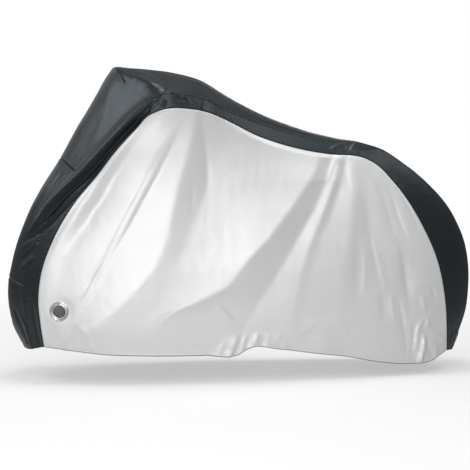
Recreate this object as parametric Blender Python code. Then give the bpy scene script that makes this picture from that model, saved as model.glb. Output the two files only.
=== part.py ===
"""Bicycle cover: a black band over nose, hood, back and tail, a silver panel on each side, two steel eyelets.

Lengths are in metres. X runs from the nose to the tail, -Y is the near side and Z is up. The tables hold
places measured from the middle of the cover's length and from the ground below it. ORIGIN moves them to the
cover's own frame, whose origin lies just under the top of the hood.
"""

import math
from collections import namedtuple

import bmesh
import bpy
from mathutils import Vector

ORIGIN = Vector((-0.33, 0.0, 1.13))

CLOTH_THICKNESS = 0.002
SEAM_GAP = 0.0003
CORNER_COSINE = 0.5
SHARP_ANGLE = math.radians(40.0)

# Cells of the skin: up the nose and down the tail, along the back, and across each strip.
RISE_CELLS = 20
BACK_CELLS = 30
GUSSET_CELLS = 2
CENTRE_CELLS = 8
CURVE_STEPS = 600

# Where the edge of the side panel turns from the nose to the back, and from the back to the tail, as X.
HOOD_TURN_X = -0.350
TAIL_TURN_X = 0.500

# Cross seams: two in the centre strip, as heights on the crown line, and one in each gusset, as X.
LOWER_CROSS_SEAM_Z = 0.372
UPPER_CROSS_SEAM_Z = 0.814
GUSSET_CROSS_SEAM_X = -0.173

# Eyelet: places on the near panel, and sizes of the turned ring, its barrel and its washer.
EYELET_X = -0.676
EYELET_Z = 0.265
HOLE_RADIUS = 0.0215
BARREL_RADIUS = 0.0227
CLOTH_HOLE_RADIUS = 0.0231
FLANGE_RADIUS = 0.0360
FLANGE_HEIGHT = 0.0042
FLARE_RADIUS = 0.0252
FLARE_THICKNESS = 0.0009
WASHER_RADIUS = 0.0315
WASHER_THICKNESS = 0.0010
LIP_HEIGHT = 0.0006
ROLL_STEPS = 8
EYELET_SEGMENTS = 24

# Flat disc of cloth under the eyelet: it takes the place of a block of the panel's cells.
DISC_RADIUS = 0.0400
BLOCK_CELLS = 3
DISC_START_ANGLE = math.radians(-135.0)

# A section across the black band: the crown line, the centre strip's seam and the side panel's edge.
Station = namedtuple("Station", "name crown_x crown_z seam_x seam_y seam_z edge_x edge_y edge_z")
STATIONS = [
    Station("front hem", -0.795, 0.109, -0.779, 0.100, 0.115, -0.731, 0.170, 0.131),
    Station("low nose", -0.842, 0.211, -0.793, 0.115, 0.225, -0.745, 0.185, 0.225),
    Station("nose", -0.856, 0.332, -0.800, 0.120, 0.317, -0.751, 0.190, 0.313),
    Station("high nose", -0.840, 0.428, -0.792, 0.120, 0.401, -0.740, 0.190, 0.400),
    Station("shin", -0.802, 0.555, -0.747, 0.120, 0.533, -0.692, 0.190, 0.530),
    Station("brow foot", -0.738, 0.688, -0.693, 0.132, 0.664, -0.620, 0.200, 0.653),
    Station("brow", -0.659, 0.814, -0.611, 0.160, 0.767, -0.538, 0.220, 0.754),
    Station("high brow", -0.588, 0.941, -0.525, 0.200, 0.858, -0.468, 0.250, 0.848),
    Station("hood front", -0.528, 1.041, -0.441, 0.240, 0.941, -0.398, 0.275, 0.926),
    Station("under corner", -0.473, 1.132, -0.359, 0.280, 1.017, -0.347, 0.300, 0.976),
    Station("hood corner", -0.456, 1.151, -0.324, 0.295, 1.041, -0.310, 0.310, 0.991),
    Station("hood tip", -0.397, 1.148, -0.285, 0.300, 1.058, -0.266, 0.315, 0.997),
    Station("hood top", -0.333, 1.144, -0.247, 0.293, 1.048, -0.224, 0.309, 0.995),
    Station("hood back", -0.148, 1.110, -0.146, 0.250, 1.029, -0.135, 0.275, 0.980),
    Station("slope", -0.042, 1.050, -0.066, 0.210, 0.992, -0.064, 0.240, 0.952),
    Station("back", 0.096, 0.979, 0.067, 0.165, 0.944, 0.053, 0.205, 0.897),
    Station("low back", 0.251, 0.922, 0.217, 0.130, 0.900, 0.201, 0.175, 0.852),
    Station("hump front", 0.387, 0.887, 0.355, 0.110, 0.877, 0.332, 0.160, 0.829),
    Station("hump end", 0.485, 0.870, 0.458, 0.100, 0.870, 0.452, 0.155, 0.818),
    Station("tail top", 0.561, 0.839, 0.538, 0.100, 0.848, 0.512, 0.160, 0.788),
    Station("high tail", 0.652, 0.779, 0.631, 0.100, 0.791, 0.573, 0.165, 0.728),
    Station("tail fall", 0.749, 0.706, 0.726, 0.100, 0.714, 0.634, 0.170, 0.649),
    Station("tail turn", 0.846, 0.591, 0.822, 0.100, 0.600, 0.703, 0.175, 0.528),
    Station("tail", 0.895, 0.481, 0.870, 0.100, 0.490, 0.741, 0.180, 0.438),
    Station("tail end", 0.913, 0.350, 0.888, 0.100, 0.360, 0.766, 0.180, 0.343),
    Station("low tail", 0.905, 0.240, 0.881, 0.100, 0.252, 0.780, 0.175, 0.255),
    Station("tail foot", 0.874, 0.136, 0.851, 0.100, 0.145, 0.788, 0.165, 0.162),
    Station("rear hem", 0.847, 0.069, 0.824, 0.100, 0.079, 0.793, 0.150, 0.083),
]

# The free lower edge of a side panel, from the nose to the tail.
HemPoint = namedtuple("HemPoint", "x y z")
HEM = [
    HemPoint(-0.731, 0.170, 0.131),
    HemPoint(-0.602, 0.215, 0.116),
    HemPoint(-0.503, 0.238, 0.106),
    HemPoint(-0.403, 0.250, 0.102),
    HemPoint(-0.152, 0.260, 0.098),
    HemPoint(-0.030, 0.260, 0.097),
    HemPoint(0.018, 0.240, 0.123),
    HemPoint(0.131, 0.235, 0.114),
    HemPoint(0.263, 0.230, 0.095),
    HemPoint(0.378, 0.228, 0.080),
    HemPoint(0.513, 0.220, 0.054),
    HemPoint(0.633, 0.205, 0.042),
    HemPoint(0.707, 0.190, 0.045),
    HemPoint(0.793, 0.150, 0.083),
]

# A fold of a side panel: its line from head to foot through a bend, how far it reaches to the front and to
# the back of that line, and how far it stands out (or sinks in, where it is negative).
Fold = namedtuple("Fold", "name head_x head_z bend_x bend_z foot_x foot_z front back height")
NEAR_FOLDS = [
    Fold("nose trough", -0.380, 0.926, -0.524, 0.721, -0.713, 0.436, 0.050, 0.090, -0.014),
    Fold("hood ridge", -0.195, 0.948, -0.313, 0.700, -0.540, 0.280, 0.110, 0.120, 0.020),
    Fold("hood trough", -0.160, 0.963, -0.154, 0.700, -0.260, 0.330, 0.080, 0.130, -0.016),
    Fold("long ridge", 0.300, 0.824, 0.200, 0.590, -0.060, 0.340, 0.170, 0.090, 0.024),
    Fold("long trough", 0.330, 0.816, 0.235, 0.580, -0.010, 0.260, 0.080, 0.080, -0.014),
    Fold("hump ridge", 0.360, 0.828, 0.290, 0.560, 0.040, 0.220, 0.070, 0.100, 0.016),
    Fold("tail trough", 0.478, 0.760, 0.430, 0.530, 0.400, 0.220, 0.070, 0.080, -0.010),
    Fold("tail fold", 0.560, 0.680, 0.582, 0.414, 0.604, 0.140, 0.070, 0.070, -0.010),
]
FAR_FOLDS = [
    Fold("nose trough", -0.400, 0.910, -0.550, 0.690, -0.690, 0.450, 0.050, 0.080, -0.012),
    Fold("hood ridge", -0.220, 0.950, -0.330, 0.660, -0.440, 0.260, 0.120, 0.110, 0.018),
    Fold("hood trough", -0.130, 0.940, -0.130, 0.640, -0.160, 0.300, 0.090, 0.110, -0.015),
    Fold("long ridge", 0.260, 0.830, 0.170, 0.540, -0.020, 0.280, 0.130, 0.090, 0.020),
    Fold("long trough", 0.310, 0.800, 0.250, 0.520, 0.080, 0.220, 0.080, 0.080, -0.014),
    Fold("hump ridge", 0.380, 0.800, 0.340, 0.510, 0.220, 0.180, 0.080, 0.090, 0.014),
    Fold("tail trough", 0.500, 0.740, 0.520, 0.480, 0.500, 0.200, 0.070, 0.090, -0.011),
]
FOLD_STEPS = 10
FOLD_END_FADE = 0.18
EDGE_FADE = 0.10

BLACK_CLOTH = (0.030, 0.036, 0.042, 1.0)
SILVER_CLOTH = (0.72, 0.73, 0.74, 1.0)
STEEL = (0.62, 0.62, 0.61, 1.0)


def clear_scene():
    for thing in list(bpy.data.objects):
        bpy.data.objects.remove(thing, do_unlink=True)


def make_material(name, colour, roughness, metallic):
    material = bpy.data.materials.new(name)
    material.use_nodes = True
    shader = material.node_tree.nodes["Principled BSDF"]
    shader.inputs["Base Color"].default_value = colour
    shader.inputs["Roughness"].default_value = roughness
    shader.inputs["Metallic"].default_value = metallic
    return material


def chord_knots(points):
    knots = [0.0]
    for start, end in zip(points, points[1:]):
        knots.append(knots[-1] + (end - start).length)
    return knots


def spline(points, knots, where):
    """The smooth curve that passes each point at its knot, read at one place."""
    last = len(points) - 1
    span = 0
    while span < last - 1 and where > knots[span + 1]:
        span += 1

    def slope(index):
        before = max(index - 1, 0)
        after = min(index + 1, last)
        if before == index or after == index:
            return (points[after] - points[before]) / (knots[after] - knots[before])
        back = (points[index] - points[before]) / (knots[index] - knots[before])
        ahead = (points[after] - points[index]) / (knots[after] - knots[index])
        share = (knots[index] - knots[before]) / (knots[after] - knots[before])
        return back * (1.0 - share) + ahead * share

    width = knots[span + 1] - knots[span]
    t = (where - knots[span]) / width
    t2, t3 = t * t, t * t * t
    return (
        points[span] * (2 * t3 - 3 * t2 + 1)
        + slope(span) * (width * (t3 - 2 * t2 + t))
        + points[span + 1] * (3 * t2 - 2 * t3)
        + slope(span + 1) * (width * (t3 - t2))
    )


CROWN = [Vector((row.crown_x, 0.0, row.crown_z)) for row in STATIONS]
SEAM = [Vector((row.seam_x, -row.seam_y, row.seam_z)) for row in STATIONS]
EDGE = [Vector((row.edge_x, -row.edge_y, row.edge_z)) for row in STATIONS]
BAND_KNOTS = [sum(ends) / 3.0 for ends in zip(chord_knots(CROWN), chord_knots(SEAM), chord_knots(EDGE))]


def mirrored(point):
    return Vector((point.x, -point.y, point.z))


def section(where):
    """The five points of the band's section at one place along it, from the near edge to the far edge."""
    crown = spline(CROWN, BAND_KNOTS, where)
    seam = spline(SEAM, BAND_KNOTS, where)
    edge = spline(EDGE, BAND_KNOTS, where)
    return [edge, seam, crown, mirrored(seam), mirrored(edge)]


def section_rows(where):
    """The band's section cut into rows: gusset, near half and far half of the centre strip, gusset."""
    points = section(where)
    knots = chord_knots(points)
    cells = [GUSSET_CELLS, CENTRE_CELLS // 2, CENTRE_CELLS // 2, GUSSET_CELLS]
    rows = [points[0]]
    for part, count in enumerate(cells):
        for step in range(1, count + 1):
            where_across = knots[part] + (knots[part + 1] - knots[part]) * step / count
            rows.append(spline(points, knots, where_across))
    return rows


def band_columns():
    """Places along the band where its columns stand, evenly spaced on the edge of the side panel."""
    places = [BAND_KNOTS[-1] * step / CURVE_STEPS for step in range(CURVE_STEPS + 1)]
    edge = [spline(EDGE, BAND_KNOTS, place) for place in places]
    lengths = chord_knots(edge)
    hood_turn = next(length for length, point in zip(lengths, edge) if point.x >= HOOD_TURN_X)
    tail_turn = next(length for length, point in zip(lengths, edge) if point.x >= TAIL_TURN_X)
    ends = [0.0, hood_turn, tail_turn, lengths[-1]]
    columns = [0.0]
    for start, end, count in zip(ends, ends[1:], [RISE_CELLS, BACK_CELLS, RISE_CELLS]):
        for step in range(1, count + 1):
            target = start + (end - start) * step / count
            index = min(range(len(lengths)), key=lambda k: abs(lengths[k] - target))
            columns.append(places[index])
    return columns


def fold_line(fold):
    head = Vector((fold.head_x, fold.head_z))
    bend = Vector((fold.bend_x, fold.bend_z))
    foot = Vector((fold.foot_x, fold.foot_z))
    points = [head, bend, foot]
    knots = chord_knots(points)
    return [spline(points, knots, knots[-1] * step / FOLD_STEPS) for step in range(FOLD_STEPS + 1)]


def nearest_on_line(line, place):
    """Distance from a fold's line, positive on its tail side, and the share of the line passed there."""
    best = None
    for index, (start, end) in enumerate(zip(line, line[1:])):
        along = end - start
        share = min(max((place - start).dot(along) / along.length_squared, 0.0), 1.0)
        away = place - (start + along * share)
        if best is None or away.length < abs(best[0]):
            side = 1.0 if along.x * away.y - along.y * away.x > 0.0 else -1.0
            best = (away.length * side, (index + share) / (len(line) - 1))
    return best


def smooth_step(value):
    value = min(max(value, 0.0), 1.0)
    return value * value * (3.0 - 2.0 * value)


def fold_height(folds, lines, place):
    total = 0.0
    for fold, line in zip(folds, lines):
        distance, share = nearest_on_line(line, place)
        reach = fold.back if distance > 0.0 else fold.front
        profile = smooth_step(1.0 - abs(distance) / reach)
        ends = smooth_step(share / FOLD_END_FADE) * smooth_step((1.0 - share) / FOLD_END_FADE)
        total += fold.height * profile * ends
    return total


class Skin:
    """The middle surface of the whole cover, in triangles that each belong to one piece."""

    def __init__(self):
        self.points = []
        self.triangles = {}

    def add_point(self, point):
        self.points.append(Vector(point))
        return len(self.points) - 1

    def add_face(self, piece, corners):
        triangles = self.triangles.setdefault(piece, [])
        for second, third in zip(corners[1:], corners[2:]):
            triangles.append((corners[0], second, third))

    def normals(self):
        sums = [Vector((0.0, 0.0, 0.0)) for _ in self.points]
        for corners in (corners for faces in self.triangles.values() for corners in faces):
            a, b, c = (self.points[index] for index in corners)
            face = (b - a).cross(c - a)
            for index in corners:
                sums[index] += face
        return [total.normalized() for total in sums]


def centre_piece_name(crown_place, passed_hood):
    if passed_hood or crown_place.z > UPPER_CROSS_SEAM_Z:
        return "top_strip"
    return "nose_upper" if crown_place.z > LOWER_CROSS_SEAM_Z else "nose_lower"


def add_band(skin, columns):
    """Adds the black band and returns the vertex of each column and row."""
    sections = [section_rows(where) for where in columns]
    grid = [[skin.add_point(point) for point in rows] for rows in sections]
    row_count = len(sections[0]) - 1
    centre_row = row_count // 2
    hood_column = max(range(len(columns)), key=lambda column: sections[column][centre_row].z)
    for column in range(len(columns) - 1):
        crown = (sections[column][centre_row] + sections[column + 1][centre_row]) / 2.0
        edge = (sections[column][0] + sections[column + 1][0]) / 2.0
        for row in range(row_count):
            if row < GUSSET_CELLS or row >= row_count - GUSSET_CELLS:
                end = "front" if edge.x < GUSSET_CROSS_SEAM_X else "rear"
                piece = f"{end}_gusset_{'near' if row < GUSSET_CELLS else 'far'}"
            else:
                piece = centre_piece_name(crown, column >= hood_column)
            this, following = grid[column], grid[column + 1]
            skin.add_face(piece, [this[row], following[row], following[row + 1], this[row + 1]])
    return grid


def even_points(points, count):
    """Places evenly spaced along a smooth curve through the points."""
    knots = chord_knots(points)
    fine = [spline(points, knots, knots[-1] * step / CURVE_STEPS) for step in range(CURVE_STEPS + 1)]
    lengths = chord_knots(fine)
    picked = []
    for step in range(count + 1):
        target = lengths[-1] * step / count
        picked.append(fine[min(range(len(fine)), key=lambda k: abs(lengths[k] - target))])
    return picked


def stretched_point(hem, top, front, back, along, up):
    """A point of the smooth patch between four border curves."""
    u = along / BACK_CELLS
    v = up / RISE_CELLS
    between_hem_and_top = hem[along] * (1 - v) + top[along] * v
    between_front_and_back = front[up] * (1 - u) + back[up] * u
    corners = (front[0] * (1 - u) + back[0] * u) * (1 - v) + (front[-1] * (1 - u) + back[-1] * u) * v
    return between_hem_and_top + between_front_and_back - corners


def panel_points(edge, hem, folds, sign):
    """Middle surface of a side panel, stretched between its sewn edge and its hem, with its folds."""
    front = edge[:RISE_CELLS + 1]
    top = edge[RISE_CELLS:RISE_CELLS + BACK_CELLS + 1]
    back = edge[RISE_CELLS + BACK_CELLS:][::-1]
    lines = [fold_line(fold) for fold in folds]
    columns = []
    for along in range(BACK_CELLS + 1):
        columns.append([])
        for up in range(RISE_CELLS + 1):
            point = stretched_point(hem, top, front, back, along, up)
            edge_distance = min(along / BACK_CELLS, 1 - along / BACK_CELLS, 1 - up / RISE_CELLS)
            fade = smooth_step(edge_distance / EDGE_FADE)
            out = fold_height(folds, lines, Vector((point.x, point.z))) * fade
            columns[-1].append(point + Vector((0.0, sign * out, 0.0)))
    return columns


def block_ring(along, up):
    """The grid places round the eyelet's block of cells, anticlockwise from its lower front corner."""
    steps = range(BLOCK_CELLS)
    bottom = [(along + step, up) for step in steps]
    back = [(along + BLOCK_CELLS, up + step) for step in steps]
    top = [(along + BLOCK_CELLS - step, up + BLOCK_CELLS) for step in steps]
    front = [(along, up + BLOCK_CELLS - step) for step in steps]
    return bottom + back + top + front


def find_block(points):
    """The block of cells whose middle lies nearest to the eyelet."""

    def distance(place):
        along, up = place
        middle = (points[along][up] + points[along + BLOCK_CELLS][up + BLOCK_CELLS]) / 2.0
        return math.hypot(middle.x - EYELET_X, middle.z - EYELET_Z)

    alongs = range(1, BACK_CELLS - BLOCK_CELLS)
    ups = range(1, RISE_CELLS - BLOCK_CELLS)
    return min(((along, up) for along in alongs for up in ups), key=distance)


class Eyelet:
    """Where an eyelet sits on its panel: its centre, its outward direction and two directions across it."""

    def __init__(self, ring, sign):
        middle = sum(ring, Vector()) / len(ring)
        normal = Vector()
        for first, second in zip(ring, ring[1:] + ring[:1]):
            normal += (first - middle).cross(second - middle)
        self.normal = normal.normalized() if normal.y * sign > 0.0 else -normal.normalized()
        step = Vector((EYELET_X, middle.y, EYELET_Z)) - middle
        depth = step.dot(self.normal) / self.normal.y
        self.centre = middle + step - Vector((0.0, depth, 0.0))
        self.along = (Vector((1.0, 0.0, 0.0)) - self.normal * self.normal.x).normalized()
        self.up = self.normal.cross(self.along) * -sign

    def place(self, radius, angle, height=0.0):
        across = self.along * math.cos(angle) + self.up * math.sin(angle)
        return self.centre + across * radius + self.normal * height


def add_disc(skin, add_face, eyelet, outer):
    """Fills the block with a flat disc of cloth round the eyelet's hole."""
    hole = []
    for step in range(EYELET_SEGMENTS):
        angle = DISC_START_ANGLE + math.tau * step / EYELET_SEGMENTS
        hole.append(skin.add_point(eyelet.place(CLOTH_HOLE_RADIUS, angle)))
    for step, corner in enumerate(outer):
        following = outer[(step + 1) % len(outer)]
        inner = [hole[(2 * step + part) % EYELET_SEGMENTS] for part in range(3)]
        add_face([corner, following, inner[1]])
        add_face([corner, inner[1], inner[0]])
        add_face([following, inner[2], inner[1]])


def add_panel(skin, side, sign, grid, edge_row, folds):
    """Adds a side panel sewn to one edge of the band, and returns its eyelet's place."""
    edge = [column[edge_row] for column in grid]
    hem = even_points([Vector((row.x, sign * row.y, row.z)) for row in HEM], BACK_CELLS)
    points = panel_points([skin.points[index] for index in edge], hem, folds, sign)

    block = find_block(points)
    ring = block_ring(*block)
    eyelet = Eyelet([points[along][up] for along, up in ring], sign)
    for step, (along, up) in enumerate(ring):
        points[along][up] = eyelet.place(DISC_RADIUS, DISC_START_ANGLE + math.tau * step / len(ring))

    def sewn_vertex(along, up):
        if along == 0:
            return edge[up]
        if along == BACK_CELLS:
            return edge[2 * RISE_CELLS + BACK_CELLS - up]
        return edge[RISE_CELLS + along] if up == RISE_CELLS else None

    def in_block(along, up, first):
        return first <= along - block[0] < BLOCK_CELLS and first <= up - block[1] < BLOCK_CELLS

    vertices = {}
    for along in range(BACK_CELLS + 1):
        for up in range(RISE_CELLS + 1):
            if not in_block(along, up, 1):
                sewn = sewn_vertex(along, up)
                vertices[along, up] = skin.add_point(points[along][up]) if sewn is None else sewn

    def add_face(corners):
        skin.add_face(f"side_panel_{side}", corners if sign < 0.0 else corners[::-1])

    for along in range(BACK_CELLS):
        for up in range(RISE_CELLS):
            if not in_block(along, up, 0):
                cell = [(along, up), (along + 1, up), (along + 1, up + 1), (along, up + 1)]
                add_face([vertices[place] for place in cell])
    add_disc(skin, add_face, eyelet, [vertices[place] for place in ring])
    return eyelet


def border_edges(triangles):
    edges = {}
    for corners in triangles:
        for start, end in zip(corners, corners[1:] + corners[:1]):
            if (end, start) in edges:
                del edges[end, start]
            else:
                edges[start, end] = True
    return list(edges)


def seam_moves(skin, borders, shared, normals):
    """How the border of a piece draws back from its seams: half the gap, square to the seam, in the cloth."""
    directions = {}
    for start, end in borders:
        if start in shared and end in shared:
            along = (skin.points[end] - skin.points[start]).normalized()
            inward = (normals[start] + normals[end]).cross(along).normalized()
            directions.setdefault(start, []).append(inward)
            directions.setdefault(end, []).append(inward)
    moves = {}
    for index, (first, *others) in directions.items():
        # Where two seams meet at a corner, the corner draws back from both of them.
        turned = [other for other in others if other.dot(first) < CORNER_COSINE]
        moves[index] = (first + turned[0] if turned else first) * (SEAM_GAP / 2.0)
    return moves


def make_cloth(skin, piece, normals, shared, material):
    """Thickens one piece of the skin to a closed sheet and makes its object."""
    triangles = skin.triangles[piece]
    borders = border_edges(triangles)
    moves = seam_moves(skin, borders, shared, normals)
    mesh = bmesh.new()
    outer, inner = {}, {}
    for index in sorted({index for corners in triangles for index in corners}):
        point = skin.points[index] - ORIGIN + moves.get(index, Vector())
        half = normals[index] * (CLOTH_THICKNESS / 2.0)
        outer[index] = mesh.verts.new(point + half)
        inner[index] = mesh.verts.new(point - half)
    for first, second, third in triangles:
        mesh.faces.new((outer[first], outer[second], outer[third]))
        mesh.faces.new((inner[third], inner[second], inner[first]))
    for start, end in borders:
        mesh.faces.new((outer[end], outer[start], inner[end]))
        mesh.faces.new((outer[start], inner[start], inner[end]))
    add_object(piece, mesh, material)


def add_object(name, mesh, material):
    data = bpy.data.meshes.new(name)
    mesh.to_mesh(data)
    mesh.free()
    data.shade_smooth()
    data.set_sharp_from_angle(angle=SHARP_ANGLE)
    data.materials.append(material)
    bpy.context.scene.collection.objects.link(bpy.data.objects.new(name, data))


def turned_piece(name, profile, eyelet, material):
    """A ring turned round the eyelet's line from a closed profile of radius and height out of the cloth."""
    mesh = bmesh.new()
    rings = []
    for step in range(EYELET_SEGMENTS):
        angle = math.tau * step / EYELET_SEGMENTS
        places = [eyelet.place(radius, angle, height) - ORIGIN for radius, height in profile]
        rings.append([mesh.verts.new(place) for place in places])
    for ring, following in zip(rings, rings[1:] + rings[:1]):
        for index in range(len(profile)):
            beside = (index + 1) % len(profile)
            mesh.faces.new((ring[index], following[index], following[beside], ring[beside]))
    bmesh.ops.recalc_face_normals(mesh, faces=mesh.faces)
    add_object(name, mesh, material)


def eyelet_profile():
    """Outline of the eyelet: a rolled flange on the cloth, a barrel through it and a flare on the washer."""
    cloth_face = CLOTH_THICKNESS / 2.0 + SEAM_GAP
    washer_back = -(cloth_face + WASHER_THICKNESS + SEAM_GAP)
    roll = (FLANGE_RADIUS - HOLE_RADIUS) / 2.0
    foot = cloth_face + LIP_HEIGHT
    crown = []
    for step in range(ROLL_STEPS + 1):
        angle = math.pi * step / ROLL_STEPS
        radius = HOLE_RADIUS + roll - roll * math.cos(angle)
        crown.append((radius, foot + (FLANGE_HEIGHT - LIP_HEIGHT) * math.sin(angle)))
    return crown + [
        (FLANGE_RADIUS, cloth_face),
        (BARREL_RADIUS, cloth_face),
        (BARREL_RADIUS, washer_back),
        (FLARE_RADIUS, washer_back),
        (FLARE_RADIUS, washer_back - FLARE_THICKNESS),
        (HOLE_RADIUS, washer_back - FLARE_THICKNESS),
    ]


def washer_profile():
    cloth_face = -(CLOTH_THICKNESS / 2.0 + SEAM_GAP)
    inner = BARREL_RADIUS + SEAM_GAP
    return [
        (inner, cloth_face),
        (WASHER_RADIUS, cloth_face),
        (WASHER_RADIUS, cloth_face - WASHER_THICKNESS),
        (inner, cloth_face - WASHER_THICKNESS),
    ]


def build():
    clear_scene()
    black = make_material("black_polyester", BLACK_CLOTH, 0.55, 0.0)
    silver = make_material("silver_polyester", SILVER_CLOTH, 0.42, 0.25)
    steel = make_material("steel", STEEL, 0.22, 1.0)

    skin = Skin()
    grid = add_band(skin, band_columns())
    eyelets = {
        "near": add_panel(skin, "near", -1.0, grid, 0, NEAR_FOLDS),
        "far": add_panel(skin, "far", 1.0, grid, len(grid[0]) - 1, FAR_FOLDS),
    }

    owners = {}
    for piece, triangles in skin.triangles.items():
        for index in {index for corners in triangles for index in corners}:
            owners.setdefault(index, set()).add(piece)
    shared = {index for index, pieces in owners.items() if len(pieces) > 1}
    normals = skin.normals()
    for piece in skin.triangles:
        make_cloth(skin, piece, normals, shared, silver if piece.startswith("side_panel") else black)

    for side, eyelet in eyelets.items():
        turned_piece(f"eyelet_{side}", eyelet_profile(), eyelet, steel)
        turned_piece(f"eyelet_washer_{side}", washer_profile(), eyelet, steel)


build()
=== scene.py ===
import math
from collections import namedtuple

import bmesh
import bpy
import numpy as np
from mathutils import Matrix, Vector, noise


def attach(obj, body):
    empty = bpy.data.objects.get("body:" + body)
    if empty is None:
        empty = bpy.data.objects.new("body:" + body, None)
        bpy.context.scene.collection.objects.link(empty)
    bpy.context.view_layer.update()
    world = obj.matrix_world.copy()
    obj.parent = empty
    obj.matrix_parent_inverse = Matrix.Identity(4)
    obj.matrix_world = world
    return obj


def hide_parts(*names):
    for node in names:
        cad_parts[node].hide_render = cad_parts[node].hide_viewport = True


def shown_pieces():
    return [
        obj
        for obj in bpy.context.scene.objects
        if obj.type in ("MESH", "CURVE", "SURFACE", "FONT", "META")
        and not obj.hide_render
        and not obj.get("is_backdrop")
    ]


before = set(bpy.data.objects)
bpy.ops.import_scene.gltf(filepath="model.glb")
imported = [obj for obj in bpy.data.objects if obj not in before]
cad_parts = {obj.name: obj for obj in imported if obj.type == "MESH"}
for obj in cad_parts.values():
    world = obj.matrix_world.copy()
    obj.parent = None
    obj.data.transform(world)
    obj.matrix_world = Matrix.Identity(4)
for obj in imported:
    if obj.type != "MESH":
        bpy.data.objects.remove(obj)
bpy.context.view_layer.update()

print("frame loaded:", len(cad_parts), "CAD nodes")


# The tables hold metres measured from the middle of the cover's length and from the ground under it.
# X runs from the nose to the tail, -Y is the near side and Z is up.
toFrame = np.array([0.33, 0.0, -1.13])
middle = Vector((toFrame[0], 0.0, -0.61))   # of the whole cover: the lights and the camera look at it
mirror = np.array([1.0, -1.0, 1.0])

# A section across the black band: the crown line, the centre strip's seam and the side panel's edge.
Station = namedtuple("Station", "name crownX crownZ seamX seamY seamZ edgeX edgeY edgeZ")
stations = [
    Station("front hem", -0.795, 0.109, -0.779, 0.100, 0.115, -0.731, 0.170, 0.131),
    Station("low nose", -0.842, 0.211, -0.793, 0.115, 0.225, -0.745, 0.185, 0.225),
    Station("nose", -0.856, 0.332, -0.800, 0.120, 0.317, -0.751, 0.190, 0.313),
    Station("high nose", -0.840, 0.428, -0.792, 0.120, 0.401, -0.740, 0.190, 0.400),
    Station("shin", -0.802, 0.555, -0.747, 0.120, 0.533, -0.692, 0.190, 0.530),
    Station("brow foot", -0.738, 0.688, -0.693, 0.132, 0.664, -0.620, 0.200, 0.653),
    Station("brow", -0.659, 0.814, -0.611, 0.160, 0.767, -0.538, 0.220, 0.754),
    Station("high brow", -0.588, 0.941, -0.525, 0.200, 0.858, -0.468, 0.250, 0.848),
    Station("hood front", -0.528, 1.041, -0.441, 0.240, 0.941, -0.398, 0.275, 0.926),
    Station("under corner", -0.473, 1.132, -0.359, 0.280, 1.017, -0.347, 0.300, 0.976),
    Station("hood corner", -0.456, 1.151, -0.324, 0.295, 1.041, -0.310, 0.310, 0.991),
    Station("hood tip", -0.397, 1.148, -0.285, 0.300, 1.058, -0.266, 0.315, 0.997),
    Station("hood top", -0.333, 1.144, -0.247, 0.293, 1.048, -0.224, 0.309, 0.995),
    Station("hood back", -0.148, 1.110, -0.146, 0.250, 1.029, -0.135, 0.275, 0.980),
    Station("slope", -0.042, 1.050, -0.066, 0.210, 0.992, -0.064, 0.240, 0.952),
    Station("back", 0.096, 0.979, 0.067, 0.165, 0.944, 0.053, 0.205, 0.897),
    Station("low back", 0.251, 0.922, 0.217, 0.130, 0.900, 0.201, 0.175, 0.852),
    Station("hump front", 0.387, 0.887, 0.355, 0.110, 0.877, 0.332, 0.160, 0.829),
    Station("hump end", 0.485, 0.870, 0.458, 0.100, 0.870, 0.452, 0.155, 0.818),
    Station("tail top", 0.561, 0.839, 0.538, 0.100, 0.848, 0.512, 0.160, 0.788),
    Station("high tail", 0.652, 0.779, 0.631, 0.100, 0.791, 0.573, 0.165, 0.728),
    Station("tail fall", 0.749, 0.706, 0.726, 0.100, 0.714, 0.634, 0.170, 0.649),
    Station("tail turn", 0.846, 0.591, 0.822, 0.100, 0.600, 0.703, 0.175, 0.528),
    Station("tail", 0.895, 0.481, 0.870, 0.100, 0.490, 0.741, 0.180, 0.438),
    Station("tail end", 0.913, 0.350, 0.888, 0.100, 0.360, 0.766, 0.180, 0.343),
    Station("low tail", 0.905, 0.240, 0.881, 0.100, 0.252, 0.780, 0.175, 0.255),
    Station("tail foot", 0.874, 0.136, 0.851, 0.100, 0.145, 0.788, 0.165, 0.162),
    Station("rear hem", 0.847, 0.069, 0.824, 0.100, 0.079, 0.793, 0.150, 0.083),
]

# The free lower edge of a side panel, from the nose to the tail: x, half width, z.
hemPlaces = [
    (-0.731, 0.170, 0.131), (-0.602, 0.215, 0.116), (-0.503, 0.238, 0.106), (-0.403, 0.250, 0.102),
    (-0.152, 0.260, 0.098), (-0.030, 0.260, 0.097), (0.018, 0.257, 0.123), (0.131, 0.247, 0.114),
    (0.263, 0.236, 0.095), (0.378, 0.228, 0.080), (0.513, 0.220, 0.054), (0.633, 0.205, 0.042),
    (0.707, 0.190, 0.045), (0.793, 0.150, 0.083),
]

cut = {
    "hoodTurnX": -0.350,         # where the panel's edge turns from the nose to the back
    "tailTurnX": 0.500,          # and from the back to the tail
    "lowerCrossSeamZ": 0.372,    # cross seams of the centre strip, as heights of its crown
    "upperCrossSeamZ": 0.814,
    "gussetCrossSeamX": -0.173,  # cross seam of the gussets, on the panel's edge
    "thickness": 0.0009,
    "seamGap": 0.0003,
}


def smoothStep(value):
    value = np.clip(value, 0.0, 1.0)
    return value * value * (3.0 - 2.0 * value)


def unit(vectors):
    return vectors / np.linalg.norm(vectors, axis=-1, keepdims=True)


def chordKnots(points):
    steps = np.linalg.norm(np.diff(points, axis=0), axis=1)
    return np.concatenate([[0.0], np.cumsum(steps)])


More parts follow.
